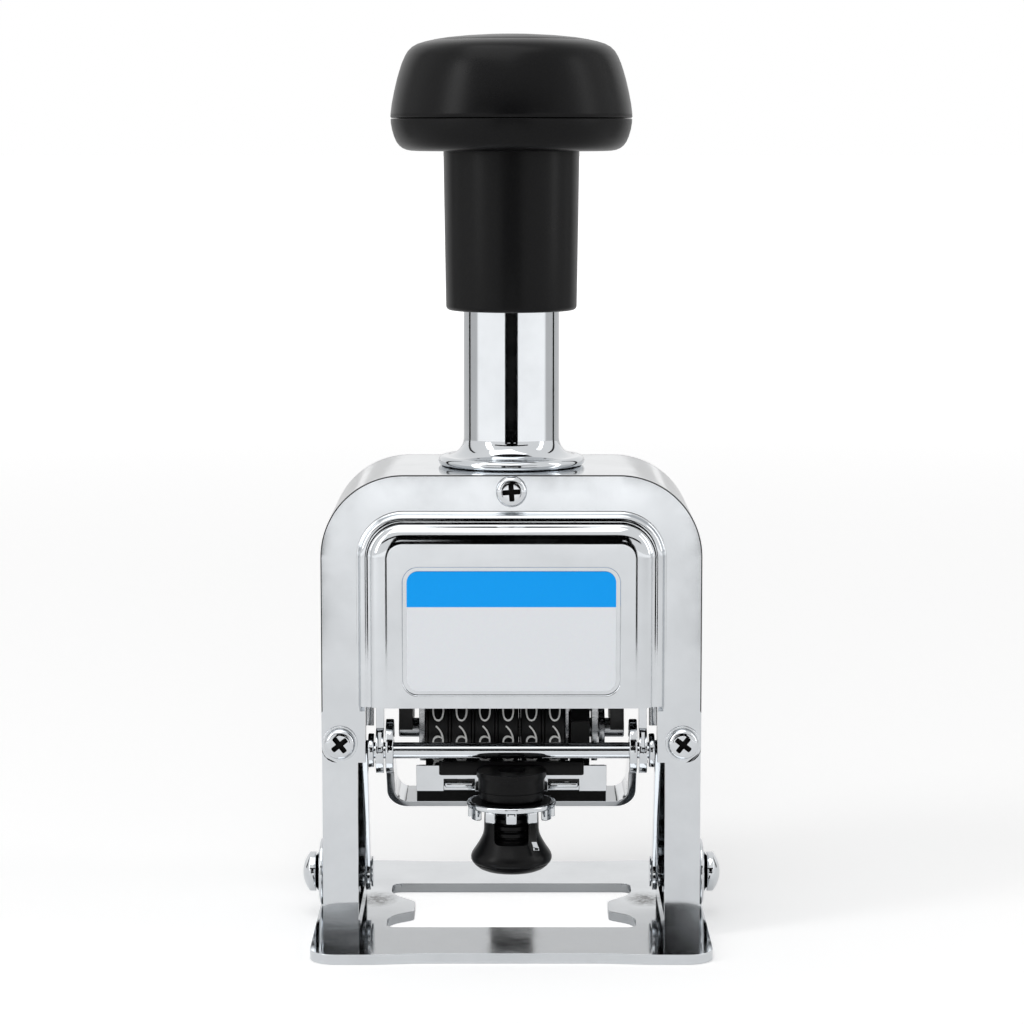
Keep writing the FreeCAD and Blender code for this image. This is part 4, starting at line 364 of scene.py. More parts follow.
def pressed_cover(name, recess):
    """The outline of the arch, inset and raised in small steps, then cut."""
    bpy.ops.object.select_all(action="DESELECT")
    bpy.ops.mesh.primitive_plane_add(size=1.0, rotation=(math.pi / 2, 0.0, 0.0),
        location=(0.0, COVER_FACE * MM, 38.15 * MM))
    cover = bpy.context.object
    cover.name = name
    cover.scale = (57.6 * MM, 66.3 * MM, 1.0)
    bpy.ops.object.transform_apply(location=True, rotation=True, scale=True)
    start_editing(cover, "DESELECT")
    bpy.ops.object.mode_set(mode="OBJECT")
    for vertex in cover.data.vertices:
        vertex.select = vertex.co.z > 60.0 * MM
    bpy.ops.object.mode_set(mode="EDIT")
    bpy.ops.mesh.bevel(offset=12.5 * MM, segments=32, affect="VERTICES")
    bpy.ops.mesh.select_mode(type="FACE")
    bpy.ops.mesh.select_all(action="SELECT")
    across, out = 0.0, 0.0
    for new_across, new_out in PRESSED:
        bpy.ops.mesh.inset(thickness=(new_across - across) * MM, depth=0.0)
        bpy.ops.transform.translate(value=(0.0, -(new_out - out) * MM, 0.0))
        across, out = new_across, new_out
    for height, clear in ((COVER_BOTTOM, True), (PANEL_BOTTOM, False), (35.3, False)):
        bpy.ops.mesh.select_all(action="SELECT")
        bpy.ops.mesh.bisect(plane_co=(0.0, 0.0, height * MM), plane_no=(0.0, 0.0, 1.0), clear_inner=clear)
    for side in (-LEG_INNER, LEG_INNER):
        bpy.ops.mesh.select_all(action="DESELECT")
        bpy.ops.object.mode_set(mode="OBJECT")
        for face in cover.data.polygons:
            face.select = face.center.z < PANEL_BOTTOM * MM
        bpy.ops.object.mode_set(mode="EDIT")
        bpy.ops.mesh.bisect(plane_co=(side * MM, 0.0, 0.0), plane_no=(1.0, 0.0, 0.0))
    bpy.ops.mesh.select_all(action="DESELECT")
    bpy.ops.object.mode_set(mode="OBJECT")
    for face in cover.data.polygons:
        face.select = abs(face.center.x) < LEG_INNER * MM and face.center.z < PANEL_BOTTOM * MM
    bpy.ops.object.mode_set(mode="EDIT")
    bpy.ops.mesh.delete(type="FACE")
    bpy.ops.object.mode_set(mode="OBJECT")
    for vertex in cover.data.vertices:
        if vertex.co.z < 36.1 * MM:
            vertex.co.y = COVER_FACE * MM
        vertex.select = False
    for vertex in cover.data.vertices:
        at_bottom = abs(vertex.co.z - COVER_BOTTOM * MM) < 0.01 * MM
        vertex.select = at_bottom and abs(vertex.co.x) > 28.79 * MM
    bpy.ops.object.mode_set(mode="EDIT")
    bpy.ops.mesh.select_mode(type="VERT")
    bpy.ops.mesh.bevel(offset=2.3 * MM, segments=5, affect="VERTICES")
    bpy.ops.object.mode_set(mode="OBJECT")
    for vertex in cover.data.vertices:
        at_bottom = abs(vertex.co.z - COVER_BOTTOM * MM) < 0.01 * MM
        vertex.select = at_bottom and abs(vertex.co.x) < 22.11 * MM
    bpy.ops.object.mode_set(mode="EDIT")
    bpy.ops.mesh.bevel(offset=1.6 * MM, segments=8, affect="VERTICES")
    bpy.ops.mesh.select_all(action="SELECT")
    bpy.ops.mesh.remove_doubles(threshold=0.001 * MM)
    bpy.ops.object.mode_set(mode="OBJECT")
    sheet = cover.modifiers.new("sheet", "SOLIDIFY")
    sheet.thickness = 1.0 * MM
    sheet.offset = -1.0
    bpy.ops.object.modifier_apply(modifier="sheet")
    if recess:
        bpy.ops.object.select_all(action="DESELECT")
        bpy.ops.mesh.primitive_cube_add(size=1.0, location=(0.0, -18.8 * MM, 47.9 * MM),
            scale=(32.7 * MM, 2.0 * MM, 19.4 * MM))
        cutter = bpy.context.object
        bpy.ops.object.transform_apply(location=True, rotation=True, scale=True)
        pick_edges(cutter, lambda a, b: abs(a[1] - b[1]) > 1.0)
        bpy.ops.mesh.bevel(offset=2.3 * MM, segments=14)
        bpy.ops.object.mode_set(mode="OBJECT")
        sink = cover.modifiers.new("sink", "BOOLEAN")
        sink.operation, sink.object, sink.solver = "DIFFERENCE", cutter, "EXACT"
        bpy.context.view_layer.objects.active = cover
        bpy.ops.object.modifier_apply(modifier="sink")
        bpy.data.objects.remove(cutter)
        pick_edges(cover, lambda a, b: max(a[1], b[1]) < -18.29 and max(abs(a[0]), abs(b[0])) < 16.4
                   and min(a[2], b[2]) > 38.1 and max(a[2], b[2]) < 57.7
                   and (max(abs(a[0] + b[0]) / 2 / 16.35, abs((a[2] + b[2]) / 2 - 47.9) / 9.7) > 0.9))
        bpy.ops.mesh.bevel(offset=0.22 * MM, segments=3)
        bpy.ops.object.mode_set(mode="OBJECT")
    cover.data.materials.append(chrome)
    cover.data.materials.append(painted_rim_shade)

    def on_rim(point):
        across, out, up = point
        return abs(out - COVER_FACE) < 0.01 and (abs(across) > 23.9 or up > 66.4) and up > 35.0

    # The rim bevel takes the painted seam shade as its second material.
    pick_edges(cover, lambda a, b: on_rim(a) and on_rim(b))
    bpy.ops.mesh.bevel(offset=0.18 * MM, segments=2, material=1)
    bpy.ops.object.mode_set(mode="OBJECT")
    return cover


front = pressed_cover("cover_front_pressing", True)
back = pressed_cover("cover_back_pressing", False)
back.rotation_euler = (0.0, 0.0, math.pi)
finish_piece(front, "frame", None, ["front_cover"], 40.0)
finish_piece(back, "frame", None, ["back_cover"], 40.0)


# Label: a thin printed aluminium plate in the recess, a sky-blue band over
# pale grey, left bare, under a clear satin lacquer.
label_low, label_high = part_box("label_plate")
bpy.ops.object.select_all(action="DESELECT")
bpy.ops.mesh.primitive_cube_add(size=1.0, location=(label_low + label_high) / 2, scale=(label_high - label_low))
label = bpy.context.object
label.name = "label_printed_plate"
bpy.ops.object.transform_apply(location=True, rotation=True, scale=True)
pick_edges(label, lambda a, b: abs(a[1] - b[1]) > 0.1)
bpy.ops.mesh.bevel(offset=1.7 * MM, segments=14)
bpy.ops.object.mode_set(mode="OBJECT")
broken_edges(label, 0.05)
print_film, tree, shader, place = new_finish("printed_aluminium_under_lacquer")
height = add(tree, "ShaderNodeSeparateXYZ", {"Vector": place})
band = add(tree, "ShaderNodeMapRange", {"Value": height.outputs["Z"], "From Min": 51.55 * MM,
    "From Max": 51.65 * MM})
speck = add(tree, "ShaderNodeTexNoise", {"Vector": place, "Scale": 1 / (0.4 * MM), "Detail": 3.0})
blend = add(tree, "ShaderNodeMix", {"Factor": band.outputs[0], "A": linear("#E3E6EA"), "B": linear("#009FF6")},
    data_type="RGBA")
grain = add(tree, "ShaderNodeMix", {"Factor": 0.05, "A": blend.outputs["Result"], "B": speck.outputs["Color"]},
            data_type="RGBA", blend_type="MULTIPLY")
tree.links.new(grain.outputs["Result"], shader.inputs["Base Color"])
film = add(tree, "ShaderNodeMapRange", {"Value": speck.outputs[0], "To Min": 0.3, "To Max": 0.42})
tree.links.new(film.outputs[0], shader.inputs["Roughness"])
shader.inputs["Specular IOR Level"].default_value = 0.2
finish_piece(label, "frame", print_film, ["label_plate"])


# Cover screws: pan heads with a cross recess, turned from steel and chromed,
# three to a cover, the lower two on thin washers.
def turned(name, rings, segments=96):
    """A turned piece: a circle extruded and resized from ring to ring."""
    bpy.ops.object.select_all(action="DESELECT")
    radius, height = rings[0]
    bpy.ops.mesh.primitive_circle_add(vertices=segments, radius=radius * MM, location=(0.0, 0.0, height * MM))
    piece = bpy.context.object
    piece.name = name
    bpy.ops.object.transform_apply(location=True, rotation=True, scale=True)
    start_editing(piece)
    for new_radius, new_height in rings[1:]:
        bpy.ops.mesh.extrude_region_move(TRANSFORM_OT_translate={"value": (0.0, 0.0,
            (new_height - height) * MM)})
        if new_radius == 0.0:
            bpy.ops.mesh.merge(type="CENTER")
            break
        grow = new_radius / radius
        bpy.ops.transform.resize(value=(grow, grow, 1.0), center_override=(0.0, 0.0, new_height * MM))
        radius, height = new_radius, new_height
    bpy.ops.mesh.select_all(action="SELECT")
    bpy.ops.mesh.remove_doubles(threshold=0.001 * MM)
    bpy.ops.mesh.normals_make_consistent(inside=False)
    bpy.ops.object.mode_set(mode="OBJECT")
    return piece


def arc(centre, radius, start, stop, steps=8):
    """Rings along an arc of a turned piece's outline, angles in degrees."""
    turns = [math.radians(start + (stop - start) * i / steps) for i in range(steps + 1)]
    return [(centre[0] + radius * math.cos(t), centre[1] + radius * math.sin(t)) for t in turns]


def closed_bottom(piece, height):
    """Close the open ring at a height with one face."""
    start_editing(piece, "DESELECT")
    bpy.ops.object.mode_set(mode="OBJECT")
    for vertex in piece.data.vertices:
        vertex.select = abs(vertex.co.z - height * MM) < 0.01 * MM
    bpy.ops.object.mode_set(mode="EDIT")
    bpy.ops.mesh.select_mode(type="VERT")
    bpy.ops.mesh.edge_face_add()
    bpy.ops.mesh.select_all(action="SELECT")
    bpy.ops.mesh.normals_make_consistent(inside=False)
    bpy.ops.object.mode_set(mode="OBJECT")


def placed_copy(source, name, turn=(0.0, 0.0, 0.0), place=(0.0, 0.0, 0.0)):
    """A copy with its own mesh, turned and moved in its mesh."""
    piece = bpy.data.objects.new(name, source.data.copy())
    bpy.context.scene.collection.objects.link(piece)
    piece.rotation_euler = turn
    piece.location = [v * MM for v in place]
    bpy.ops.object.select_all(action="DESELECT")
    bpy.context.view_layer.objects.active = piece
    piece.select_set(True)
    bpy.ops.object.transform_apply(location=True, rotation=True, scale=True)
    return piece


def joined(name, pieces):
    """Several pieces made one."""
    bpy.ops.object.select_all(action="DESELECT")
    for piece in pieces:
        piece.select_set(True)
    bpy.context.view_layer.objects.active = pieces[0]
    bpy.ops.object.join()
    pieces[0].name = name
    return pieces[0]


screw = turned("screw", [(0.9, -3.4), (0.9, 0.0), (2.2, 0.0)]
               + arc((2.2, 0.15), 0.15, -90, 0, 3)
               + [(2.34, 0.45), (2.25, 0.75), (2.05, 1.0), (1.75, 1.14), (1.45, 1.19), (1.2, 1.2), (0.0, 1.2)],
                   64)
closed_bottom(screw, -3.4)
# Painted shade: a black finish for faces that lie in shade, the cross recess of each screw and the riser under
# the pad tray's front plate.
painted_black_shade, tree, shader, place = new_finish("painted_black_shade_in_recesses")
shade_roughness_noise = add(tree, "ShaderNodeTexNoise", {"Vector": place, "Scale": 1 / (0.5 * MM), "Detail": 3.0})
shade_roughness = add(tree, "ShaderNodeMapRange", {"Value": shade_roughness_noise.outputs[0], "To Min": 0.5, "To Max": 0.8})
tree.links.new(shade_roughness.outputs[0], shader.inputs["Roughness"])
shader.inputs["Base Color"].default_value = linear("#070707")
shader.inputs["Specular IOR Level"].default_value = 0.15
screw.data.materials.append(chrome)
cutters = []
for turn in (0.0, math.pi / 2):
    bpy.ops.object.select_all(action="DESELECT")
    bpy.ops.mesh.primitive_cube_add(size=1.0, location=(0.0, 0.0, 0.9 * MM),
        scale=(3.0 * MM, 0.82 * MM, 1.1 * MM))
    cutter = bpy.context.object
    bpy.ops.object.transform_apply(location=True, rotation=True, scale=True)
    start_editing(cutter, "DESELECT")
    bpy.ops.object.mode_set(mode="OBJECT")
    for vertex in cutter.data.vertices:
        vertex.select = vertex.co.z < 0.9 * MM
    bpy.ops.object.mode_set(mode="EDIT")
    bpy.ops.transform.resize(value=(0.7, 0.85, 1.0), center_override=(0.0, 0.0, 0.4 * MM))
    bpy.ops.object.mode_set(mode="OBJECT")
    broken_edges(cutter, 0.2, segments=4)
    # The cutter's faces carry the painted black shade into the cross recess.
    cutter.data.materials.append(painted_black_shade)
    cutter.rotation_euler = (0.0, 0.0, turn)
    bpy.ops.object.select_all(action="DESELECT")
    cutter.select_set(True)
    bpy.context.view_layer.objects.active = cutter
    bpy.ops.object.transform_apply(location=True, rotation=True, scale=True)
    cutters.append(cutter)
for cutter in cutters:
    recess = screw.modifiers.new("recess", "BOOLEAN")
    recess.operation = "DIFFERENCE"
    recess.object = cutter
    recess.solver = "EXACT"
    recess.material_mode = "TRANSFER"
    bpy.context.view_layer.objects.active = screw
    bpy.ops.object.modifier_apply(modifier="recess")
    bpy.data.objects.remove(cutter)

for side, out, name in ((-1, math.pi / 2, "front"), (1, -math.pi / 2, "back")):
    heads = []
    for x, z, face, spin in ((0.0, 68.85, 15.8, 4.0), (-26.0, 30.4, 16.15, 38.0), (26.0, 30.4, 16.15, 52.0)):
        head = placed_copy(screw, name + "_screw", (0.0, 0.0, math.radians(spin)))
        head.rotation_euler = (out, 0.0, 0.0)
        head.location = (x * MM, side * face * MM, z * MM)
        bpy.ops.object.transform_apply(location=True, rotation=True, scale=True)
        heads.append(head)
    heads = joined(name + "_cross_screws", heads)
    finish_piece(heads, "frame", None, [name + "_cover_screws"], 30.0, False)
    dressed(name + "_thin_washers", name + "_screw_washers", "frame", chrome, 0.08)
bpy.data.objects.remove(screw)


# Guide tube: drawn steel tube with a flared and rolled foot, polished and
# chromed, clamped through the arch by a ring nut.
tube = turned("guide_tube_flared", [(6.3, 63.0), (7.35, 63.0), (7.35, 71.3), (10.57, 71.3)]
              + arc((10.57, 72.05), 0.75, -90, 90, 12)
              + [(10.2, 72.8)]
              + arc((10.15, 75.6), 2.8, 270, 180, 14)
              + [(7.35, 101.9), (7.05, 102.3), (6.6, 102.3), (6.3, 102.0), (6.3, 63.0)], 128)
finish_piece(tube, "frame", chrome, ["guide_tube"], flat=False)
dressed("tube_ring_nut", "tube_nut", "frame", chrome, 0.12)


# Handle: a sleeve and a knob in two halves, moulded in black plastic with a
# fine satin grain; the parting line runs round the widest place.
# Black ABS, spark-eroded mould: deep satin black with a fine grain of
# 0.25 mm, drawn a little coarse so that it shows.
plastic, tree, shader, place = new_finish("satin_black_moulded_abs")
pores = add(tree, "ShaderNodeTexNoise", {"Vector": place, "Scale": 1 / (0.25 * MM), "Detail": 3.0,
    "Roughness": 0.6})
touch = add(tree, "ShaderNodeTexNoise", {"Vector": place, "Scale": 1 / (11 * MM), "Detail": 3.0})
sheen = add(tree, "ShaderNodeMapRange", {"Value": touch.outputs[0], "From Min": 0.3, "From Max": 0.7,
    "To Min": 0.27, "To Max": 0.34})
tree.links.new(sheen.outputs[0], shader.inputs["Roughness"])
grain = add(tree, "ShaderNodeBump", {"Height": pores.outputs[0], "Strength": 0.28, "Distance": 0.02 * MM})
tree.links.new(grain.outputs[0], shader.inputs["Normal"])
fleck = add(tree, "ShaderNodeMapRange", {"Value": pores.outputs[0], "From Min": 0.35, "From Max": 0.75,
    "To Min": 0.0, "To Max": 1.0})
deep = add(tree, "ShaderNodeMix", {"Factor": fleck.outputs[0], "A": linear("#060607"), "B": linear("#0E0E0F")},
    data_type="RGBA")
tree.links.new(deep.outputs["Result"], shader.inputs["Base Color"])
shader.inputs["IOR"].default_value = 1.52
shader.inputs["Specular IOR Level"].default_value = 0.13

sleeve = turned("handle_sleeve_moulded", [(8.3, 95.3), (9.5, 95.3)]
                + arc((9.42, 95.95), 0.65, -90, 0, 8)
                + [(10.2, 104.0), (10.32, 112.0), (10.43, 119.6), (7.75, 119.6), (7.75, 95.9), (8.3, 95.3)],
                    128)
finish_piece(sleeve, "head", plastic, ["handle_sleeve"], flat=False)

knob_low = turned("knob_lower_half", [(7.75, 119.62), (14.6, 119.62), (15.4, 119.66), (16.1, 119.8),
    (16.7, 120.05), (17.2, 120.45),
                                     (17.62, 121.0), (18.0, 121.85), (18.3, 122.9), (18.47, 123.9),
                                         (18.5, 124.42),
                                     (18.38, 124.56), (17.0, 124.6), (7.75, 124.6), (7.75, 119.62)], 128)
finish_piece(knob_low, "head", plastic, ["knob_base"], flat=False)

knob_top = turned("knob_upper_half", [(17.0, 124.6), (18.4, 124.64), (18.53, 124.8), (18.5, 125.4),
    (18.32, 126.8), (17.97, 128.6),
                                     (17.52, 130.5), (17.17, 131.7), (16.78, 132.9), (16.3, 134.0),
                                         (15.85, 134.75),
                                     (15.2, 135.4), (14.4, 135.85), (13.3, 136.2), (12.3, 136.42),
                                         (12.1, 136.42), (11.9, 136.52),
                                     (10.0, 136.83), (7.0, 137.13), (3.5, 137.33), (0.0, 137.4)], 128)
closed_bottom(knob_top, 124.6)
finish_piece(knob_top, "head", plastic, ["knob_cap"], 60.0, False)


# Plunger: a ground steel rod down the middle of the tube, locked in the knob
# by a nut, guided by a bush, and pushed up by a coil spring.
# Satin steel: turned or rolled and left unplated, with fine lines 0.2 mm apart.
steel, tree, shader, place = new_finish("satin_turned_steel")
lines = add(tree, "ShaderNodeMapping", {"Vector": place, "Scale": (1 / (4 * MM), 1 / (4 * MM), 1 / (0.2 * MM))})
brush = add(tree, "ShaderNodeTexNoise", {"Vector": lines.outputs[0], "Scale": 1.0, "Detail": 4.0})
satin = add(tree, "ShaderNodeMapRange", {"Value": brush.outputs[0], "From Min": 0.3, "From Max": 0.7,
    "To Min": 0.22, "To Max": 0.36})
tree.links.new(satin.outputs[0], shader.inputs["Roughness"])
shader.inputs["Base Color"].default_value = linear("#B4B6B8")
shader.inputs["Metallic"].default_value = 1.0
ridge = add(tree, "ShaderNodeBump", {"Height": brush.outputs[0], "Strength": 0.2, "Distance": 0.01 * MM})
tree.links.new(ridge.outputs[0], shader.inputs["Normal"])
for node in ("plunger_rod", "rod_bush", "rod_locknut"):
    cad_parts[node].data.materials.clear()
    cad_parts[node].data.materials.append(steel)
# Spring: fastened to the frame, its foot on the bush, with a mesh of its own.
spring = dressed("plunger_return_spring", "return_spring", "frame", steel, 0)
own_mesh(spring)


# Wheel head: a black yoke on the rod carries three grey steel plates, tied
# by two rods with riveted ends.
# Blackened steel: burnished and oiled, brown-black with a low soft sheen and
# a little bright wear.
black_metal, tree, shader, place = new_finish("blackened_oiled_steel")
cloud = add(tree, "ShaderNodeTexNoise", {"Vector": place, "Scale": 1 / (2.5 * MM), "Detail": 5.0})
rub = add(tree, "ShaderNodeMapRange", {"Value": cloud.outputs[0], "From Min": 0.3, "From Max": 0.72,
    "To Min": 0.28, "To Max": 0.5})
tree.links.new(rub.outputs[0], shader.inputs["Roughness"])
dark = add(tree, "ShaderNodeMix", {"Factor": cloud.outputs[0], "A": linear("#0A0A0B"), "B": linear("#1B1B1C")},
    data_type="RGBA")
tree.links.new(dark.outputs["Result"], shader.inputs["Base Color"])
shader.inputs["Metallic"].default_value = 0.35
dressed("head_yoke_black", "head_yoke", "head", black_metal, 0.2)
for side in ("left", "right", "inner"):
    dressed("head_side_plate_" + side, "head_plate_" + side, "head", steel, 0.06)
dressed("head_rod_front", "tie_rod_front", "head", steel, 0.15)
dressed("head_rod_back", "tie_rod_back", "head", steel, 0.15)
dressed("head_wheel_shaft", "wheel_shaft", "head", steel, 0.2)
dressed("head_wheel_spacers", "wheel_spacers", "head", black_metal, 0.04)
dressed("head_ratchet", "ratchet_wheel", "wheel_6", black_metal, 0.08)
dressed("head_detent_comb", "detent_comb", "head", steel, 0.06)
dressed("advance_arm_plate", "advance_arm", "advance", steel, 0.08)
dressed("advance_pawl_tooth", "advance_pawl", "advance", steel, 0.08)


# Digit wheels: engraved brass wheels, blackened, with eleven raised figures at
# twelve places, picked out in white.
FIRST_WHEEL, WHEEL_PITCH, WHEEL_AXIS = -11.3, 3.6, 29.9
drum = turned("drum", [(1.55, -1.6), (6.9, -1.6), (7.0, -1.45), (7.2, -1.45), (7.3, -1.6), (7.55, -1.6),
    (7.7, -1.45),
                       (7.7, 1.45), (7.55, 1.6), (7.3, 1.6), (7.2, 1.45), (7.0, 1.45), (6.9, 1.6), (1.55, 1.6),
                           (1.55, -1.6)], 80)
figures = []
for position, sign in enumerate("0987654321*"):
    bpy.ops.object.select_all(action="DESELECT")
    bpy.ops.object.text_add()
    text = bpy.context.object
    text.data.body = sign
    text.data.align_x = "CENTER"
    text.data.align_y = "CENTER"
    text.data.size = 5.4 * MM
    text.data.extrude = 0.26 * MM
    text.data.bevel_depth = 0.05 * MM
    text.data.offset = -0.16 * MM
    text.data.bevel_resolution = 1
    text.data.resolution_u = 5
    bpy.ops.object.convert(target="MESH")
    figure = bpy.context.object
    xs = [v.co.x for v in figure.data.vertices]
    ys = [v.co.y for v in figure.data.vertices]
    middle = ((min(xs) + max(xs)) / 2, (min(ys) + max(ys)) / 2)
    start_editing(figure)
    bpy.ops.mesh.remove_doubles(threshold=0.001 * MM)
    for cut in range(-4, 5):
        bpy.ops.mesh.select_all(action="SELECT")
        bpy.ops.mesh.bisect(plane_co=(0.0, middle[1] + cut * 0.42 * MM, 0.0), plane_no=(0.0, 1.0, 0.0))
    bpy.ops.object.mode_set(mode="OBJECT")
    turn = math.radians(150.0 + 30.0 * position)
    for vertex in figure.data.vertices:
        across, up, out = vertex.co.x - middle[0], vertex.co.y - middle[1], vertex.co.z
        angle = turn + up / (7.9 * MM)
        reach = 7.78 * MM + out
        vertex.co = (across * 0.86, reach * math.cos(angle), reach * math.sin(angle))
    figures.append(figure)
figures = joined("figures", figures)

# White filling enamel: slightly warm, worn thin in places.
figure_paint, tree, shader, place = new_finish("white_filled_figure_enamel")
worn = add(tree, "ShaderNodeTexNoise", {"Vector": place, "Scale": 1 / (0.6 * MM), "Detail": 4.0})
paint_mix = add(tree, "ShaderNodeMix", {"Factor": worn.outputs[0], "A": linear("#FFFFFE"),
    "B": linear("#F2F2EF")}, data_type="RGBA")
tree.links.new(paint_mix.outputs["Result"], shader.inputs["Base Color"])
shader.inputs["Roughness"].default_value = 0.45
for number in range(6):
    x = FIRST_WHEEL + WHEEL_PITCH * number
    wheel = placed_copy(drum, "wheel_%d_drum" % (number + 1), (0.0, math.pi / 2, 0.0), (x, 0.0, WHEEL_AXIS))
    finish_piece(wheel, "wheel_%d" % (number + 1), black_metal,
        ["digit_wheel_%d" % (number + 1)])
    raised = placed_copy(figures, "wheel_%d_figures" % (number + 1), (0.0, 0.0, 0.0), (x, 0.0, WHEEL_AXIS))
    finish_piece(raised, "wheel_%d" % (number + 1), figure_paint)
bpy.data.objects.remove(drum)
bpy.data.objects.remove(figures)


# Ink-pad carriage: a chromed cross bar in two slotted hangers, with a U strap
# that carries the pad, and a crank at each end for the side levers.
dressed("pad_cross_bar", "pad_axle", "pad_carriage", chrome, 0.15)
dressed("pad_hanger_plate_left", "pad_hanger_left", "frame", chrome, 0.25)
dressed("pad_hanger_plate_right", "pad_hanger_right", "frame", chrome, 0.25)
strap = merged_copy("pad_strap", "pad_bracket")
for vertex in strap.data.vertices:
    if vertex.co.z > 29.0 * MM:
        vertex.co.z = (28.85 + (vertex.co.z / MM - 28.85) * 1.4) * MM
broken_edges(strap, 0.3, segments=3)
finish_piece(strap, "pad_carriage", chrome, ["pad_bracket"])
dressed("pad_crank_left", "crank_left", "pad_carriage", chrome, 0.25)
dressed("pad_crank_right", "crank_right", "pad_carriage", chrome, 0.25)
tray = dressed("pad_sheet_tray", "pad_tray", "pad_carriage", chrome, 0.06)
# Painted shade: the front faces of the riser under the tray's front plate take the painted black, for the dark
# gap there.
tray.data.materials.append(painted_black_shade)
for face in tray.data.polygons:
    if face.normal.y < -0.9 and face.center.y > -9.0 * MM and face.center.z < 21.9 * MM:
        face.material_index = 1
folds = []
for side in (-1, 1):
    bpy.ops.object.select_all(action="DESELECT")
    bpy.ops.mesh.primitive_cube_add(size=1.0, location=(side * 8.0 * MM, -10.2 * MM, 22.85 * MM),
        scale=(4.5 * MM, 0.9 * MM, 0.85 * MM))
    fold = bpy.context.object
    bpy.ops.object.transform_apply(location=True, rotation=True, scale=True)
    broken_edges(fold, 0.3, segments=4)
    folds.append(fold)
finish_piece(joined("pad_tray_folds", folds), "pad_carriage", chrome, flat=False)
# Front case: a black moulded bar across the tray with the socket of the grip.
bpy.ops.object.select_all(action="DESELECT")
bpy.ops.mesh.primitive_cube_add(size=1.0, location=(0.0, -11.05 * MM, 25.65 * MM),
    scale=(22.2 * MM, 1.3 * MM, 2.1 * MM))
case_plate = bpy.context.object
bpy.ops.object.transform_apply(location=True, rotation=True, scale=True)
pick_edges(case_plate, lambda a, b: abs(a[2] - b[2]) > 0.5 and a[1] < -11.5)
bpy.ops.mesh.bevel(offset=0.5 * MM, segments=5)
bpy.ops.object.mode_set(mode="OBJECT")
broken_edges(case_plate, 0.15)
socket = turned("case_socket", [(2.1, 21.8), (4.6, 21.8)] + arc((4.6, 22.1), 0.3, -90, 0, 4)
                + [(4.95, 23.2), (4.9, 23.25), (5.0, 23.3), (5.05, 25.0), (5.3, 25.4), (5.3, 26.2),
                    (2.1, 26.2), (2.1, 21.8)], 96)
GRIP_PLACE = (0.0, -15.5 * MM, 0.0)
socket.location = GRIP_PLACE
finish_piece(joined("pad_front_case", [case_plate, socket]), "pad_carriage", plastic,
    ["pad_case"], flat=False)


# Felt pad: pressed wool felt soaked with black ink, held in the tray and a
# little crowned, with softened edges.
felt_low, felt_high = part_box("ink_pad")
bpy.ops.object.select_all(action="DESELECT")
bpy.ops.mesh.primitive_cube_add(size=1.0, location=(felt_low + felt_high) / 2, scale=(felt_high - felt_low))
felt_piece = bpy.context.object
felt_piece.name = "pad_felt_soaked"
bpy.ops.object.transform_apply(location=True, rotation=True, scale=True)
broken_edges(felt_piece, 0.2, segments=3)
start_editing(felt_piece)
bpy.ops.mesh.subdivide(number_cuts=6)
bpy.ops.object.mode_set(mode="OBJECT")
felt, tree, shader, place = new_finish("ink_soaked_wool_felt")
fibre = add(tree, "ShaderNodeTexNoise", {"Vector": place, "Scale": 1 / (0.3 * MM), "Detail": 6.0,
    "Roughness": 0.7})
nap = add(tree, "ShaderNodeBump", {"Height": fibre.outputs[0], "Strength": 0.8, "Distance": 0.1 * MM})
tree.links.new(nap.outputs[0], shader.inputs["Normal"])
damp = add(tree, "ShaderNodeMix", {"Factor": fibre.outputs[0], "A": linear("#07070B"), "B": linear("#1A1A22")},
    data_type="RGBA")
tree.links.new(damp.outputs["Result"], shader.inputs["Base Color"])
shader.inputs["Roughness"].default_value = 0.85
finish_piece(felt_piece, "pad_carriage", felt, ["ink_pad"])


# Pad grip: a black moulded button that turns in a toothed chrome ring and
# lets the pad out, with a sprung catch in its open side.
grip = turned("grip_button", [(3.4, 10.9), (4.3, 11.0), (5.0, 11.3), (5.5, 11.7), (5.72, 11.95), (5.66, 12.05),
    (5.9, 12.15), (6.12, 12.55),
                              (6.17, 13.0), (6.05, 13.45), (5.75, 13.95), (5.3, 14.6), (4.9, 15.25),
                                  (4.55, 15.9), (4.3, 16.5),
                              (4.18, 17.2), (4.15, 18.5), (4.1, 20.05), (2.2, 20.05), (2.2, 25.4), (1.9, 25.6),
                                  (0.0, 25.6)], 96)
closed_bottom(grip, 10.9)
bpy.ops.object.select_all(action="DESELECT")
bpy.ops.mesh.primitive_cube_add(size=1.0, location=(0.0, -4.6 * MM, 17.7 * MM),
    scale=(5.2 * MM, 6.6 * MM, 4.5 * MM))
hollow = bpy.context.object
bpy.ops.object.transform_apply(location=True, rotation=True, scale=True)
broken_edges(hollow, 0.7, segments=4)
open_side = grip.modifiers.new("open_side", "BOOLEAN")
open_side.operation, open_side.object, open_side.solver = "DIFFERENCE", hollow, "EXACT"
bpy.context.view_layer.objects.active = grip
bpy.ops.object.modifier_apply(modifier="open_side")
bpy.data.objects.remove(hollow)
core = turned("grip_core", [(2.4, 14.7)] + [ring for z in (15.1, 16.2, 17.3, 18.4) for ring in (
    (2.9, z), (3.05, z + 0.12), (3.05, z + 0.62), (2.9, z + 0.74), (2.45, z + 0.8),
        (2.45, z + 1.05))] + [(2.45, 20.0)], 64)
grip.location = GRIP_PLACE
core.location = GRIP_PLACE
finish_piece(grip, "pad_grip", plastic, ["pad_knob"], 40.0, False)
finish_piece(core, "pad_grip", plastic, (), 40.0, False)

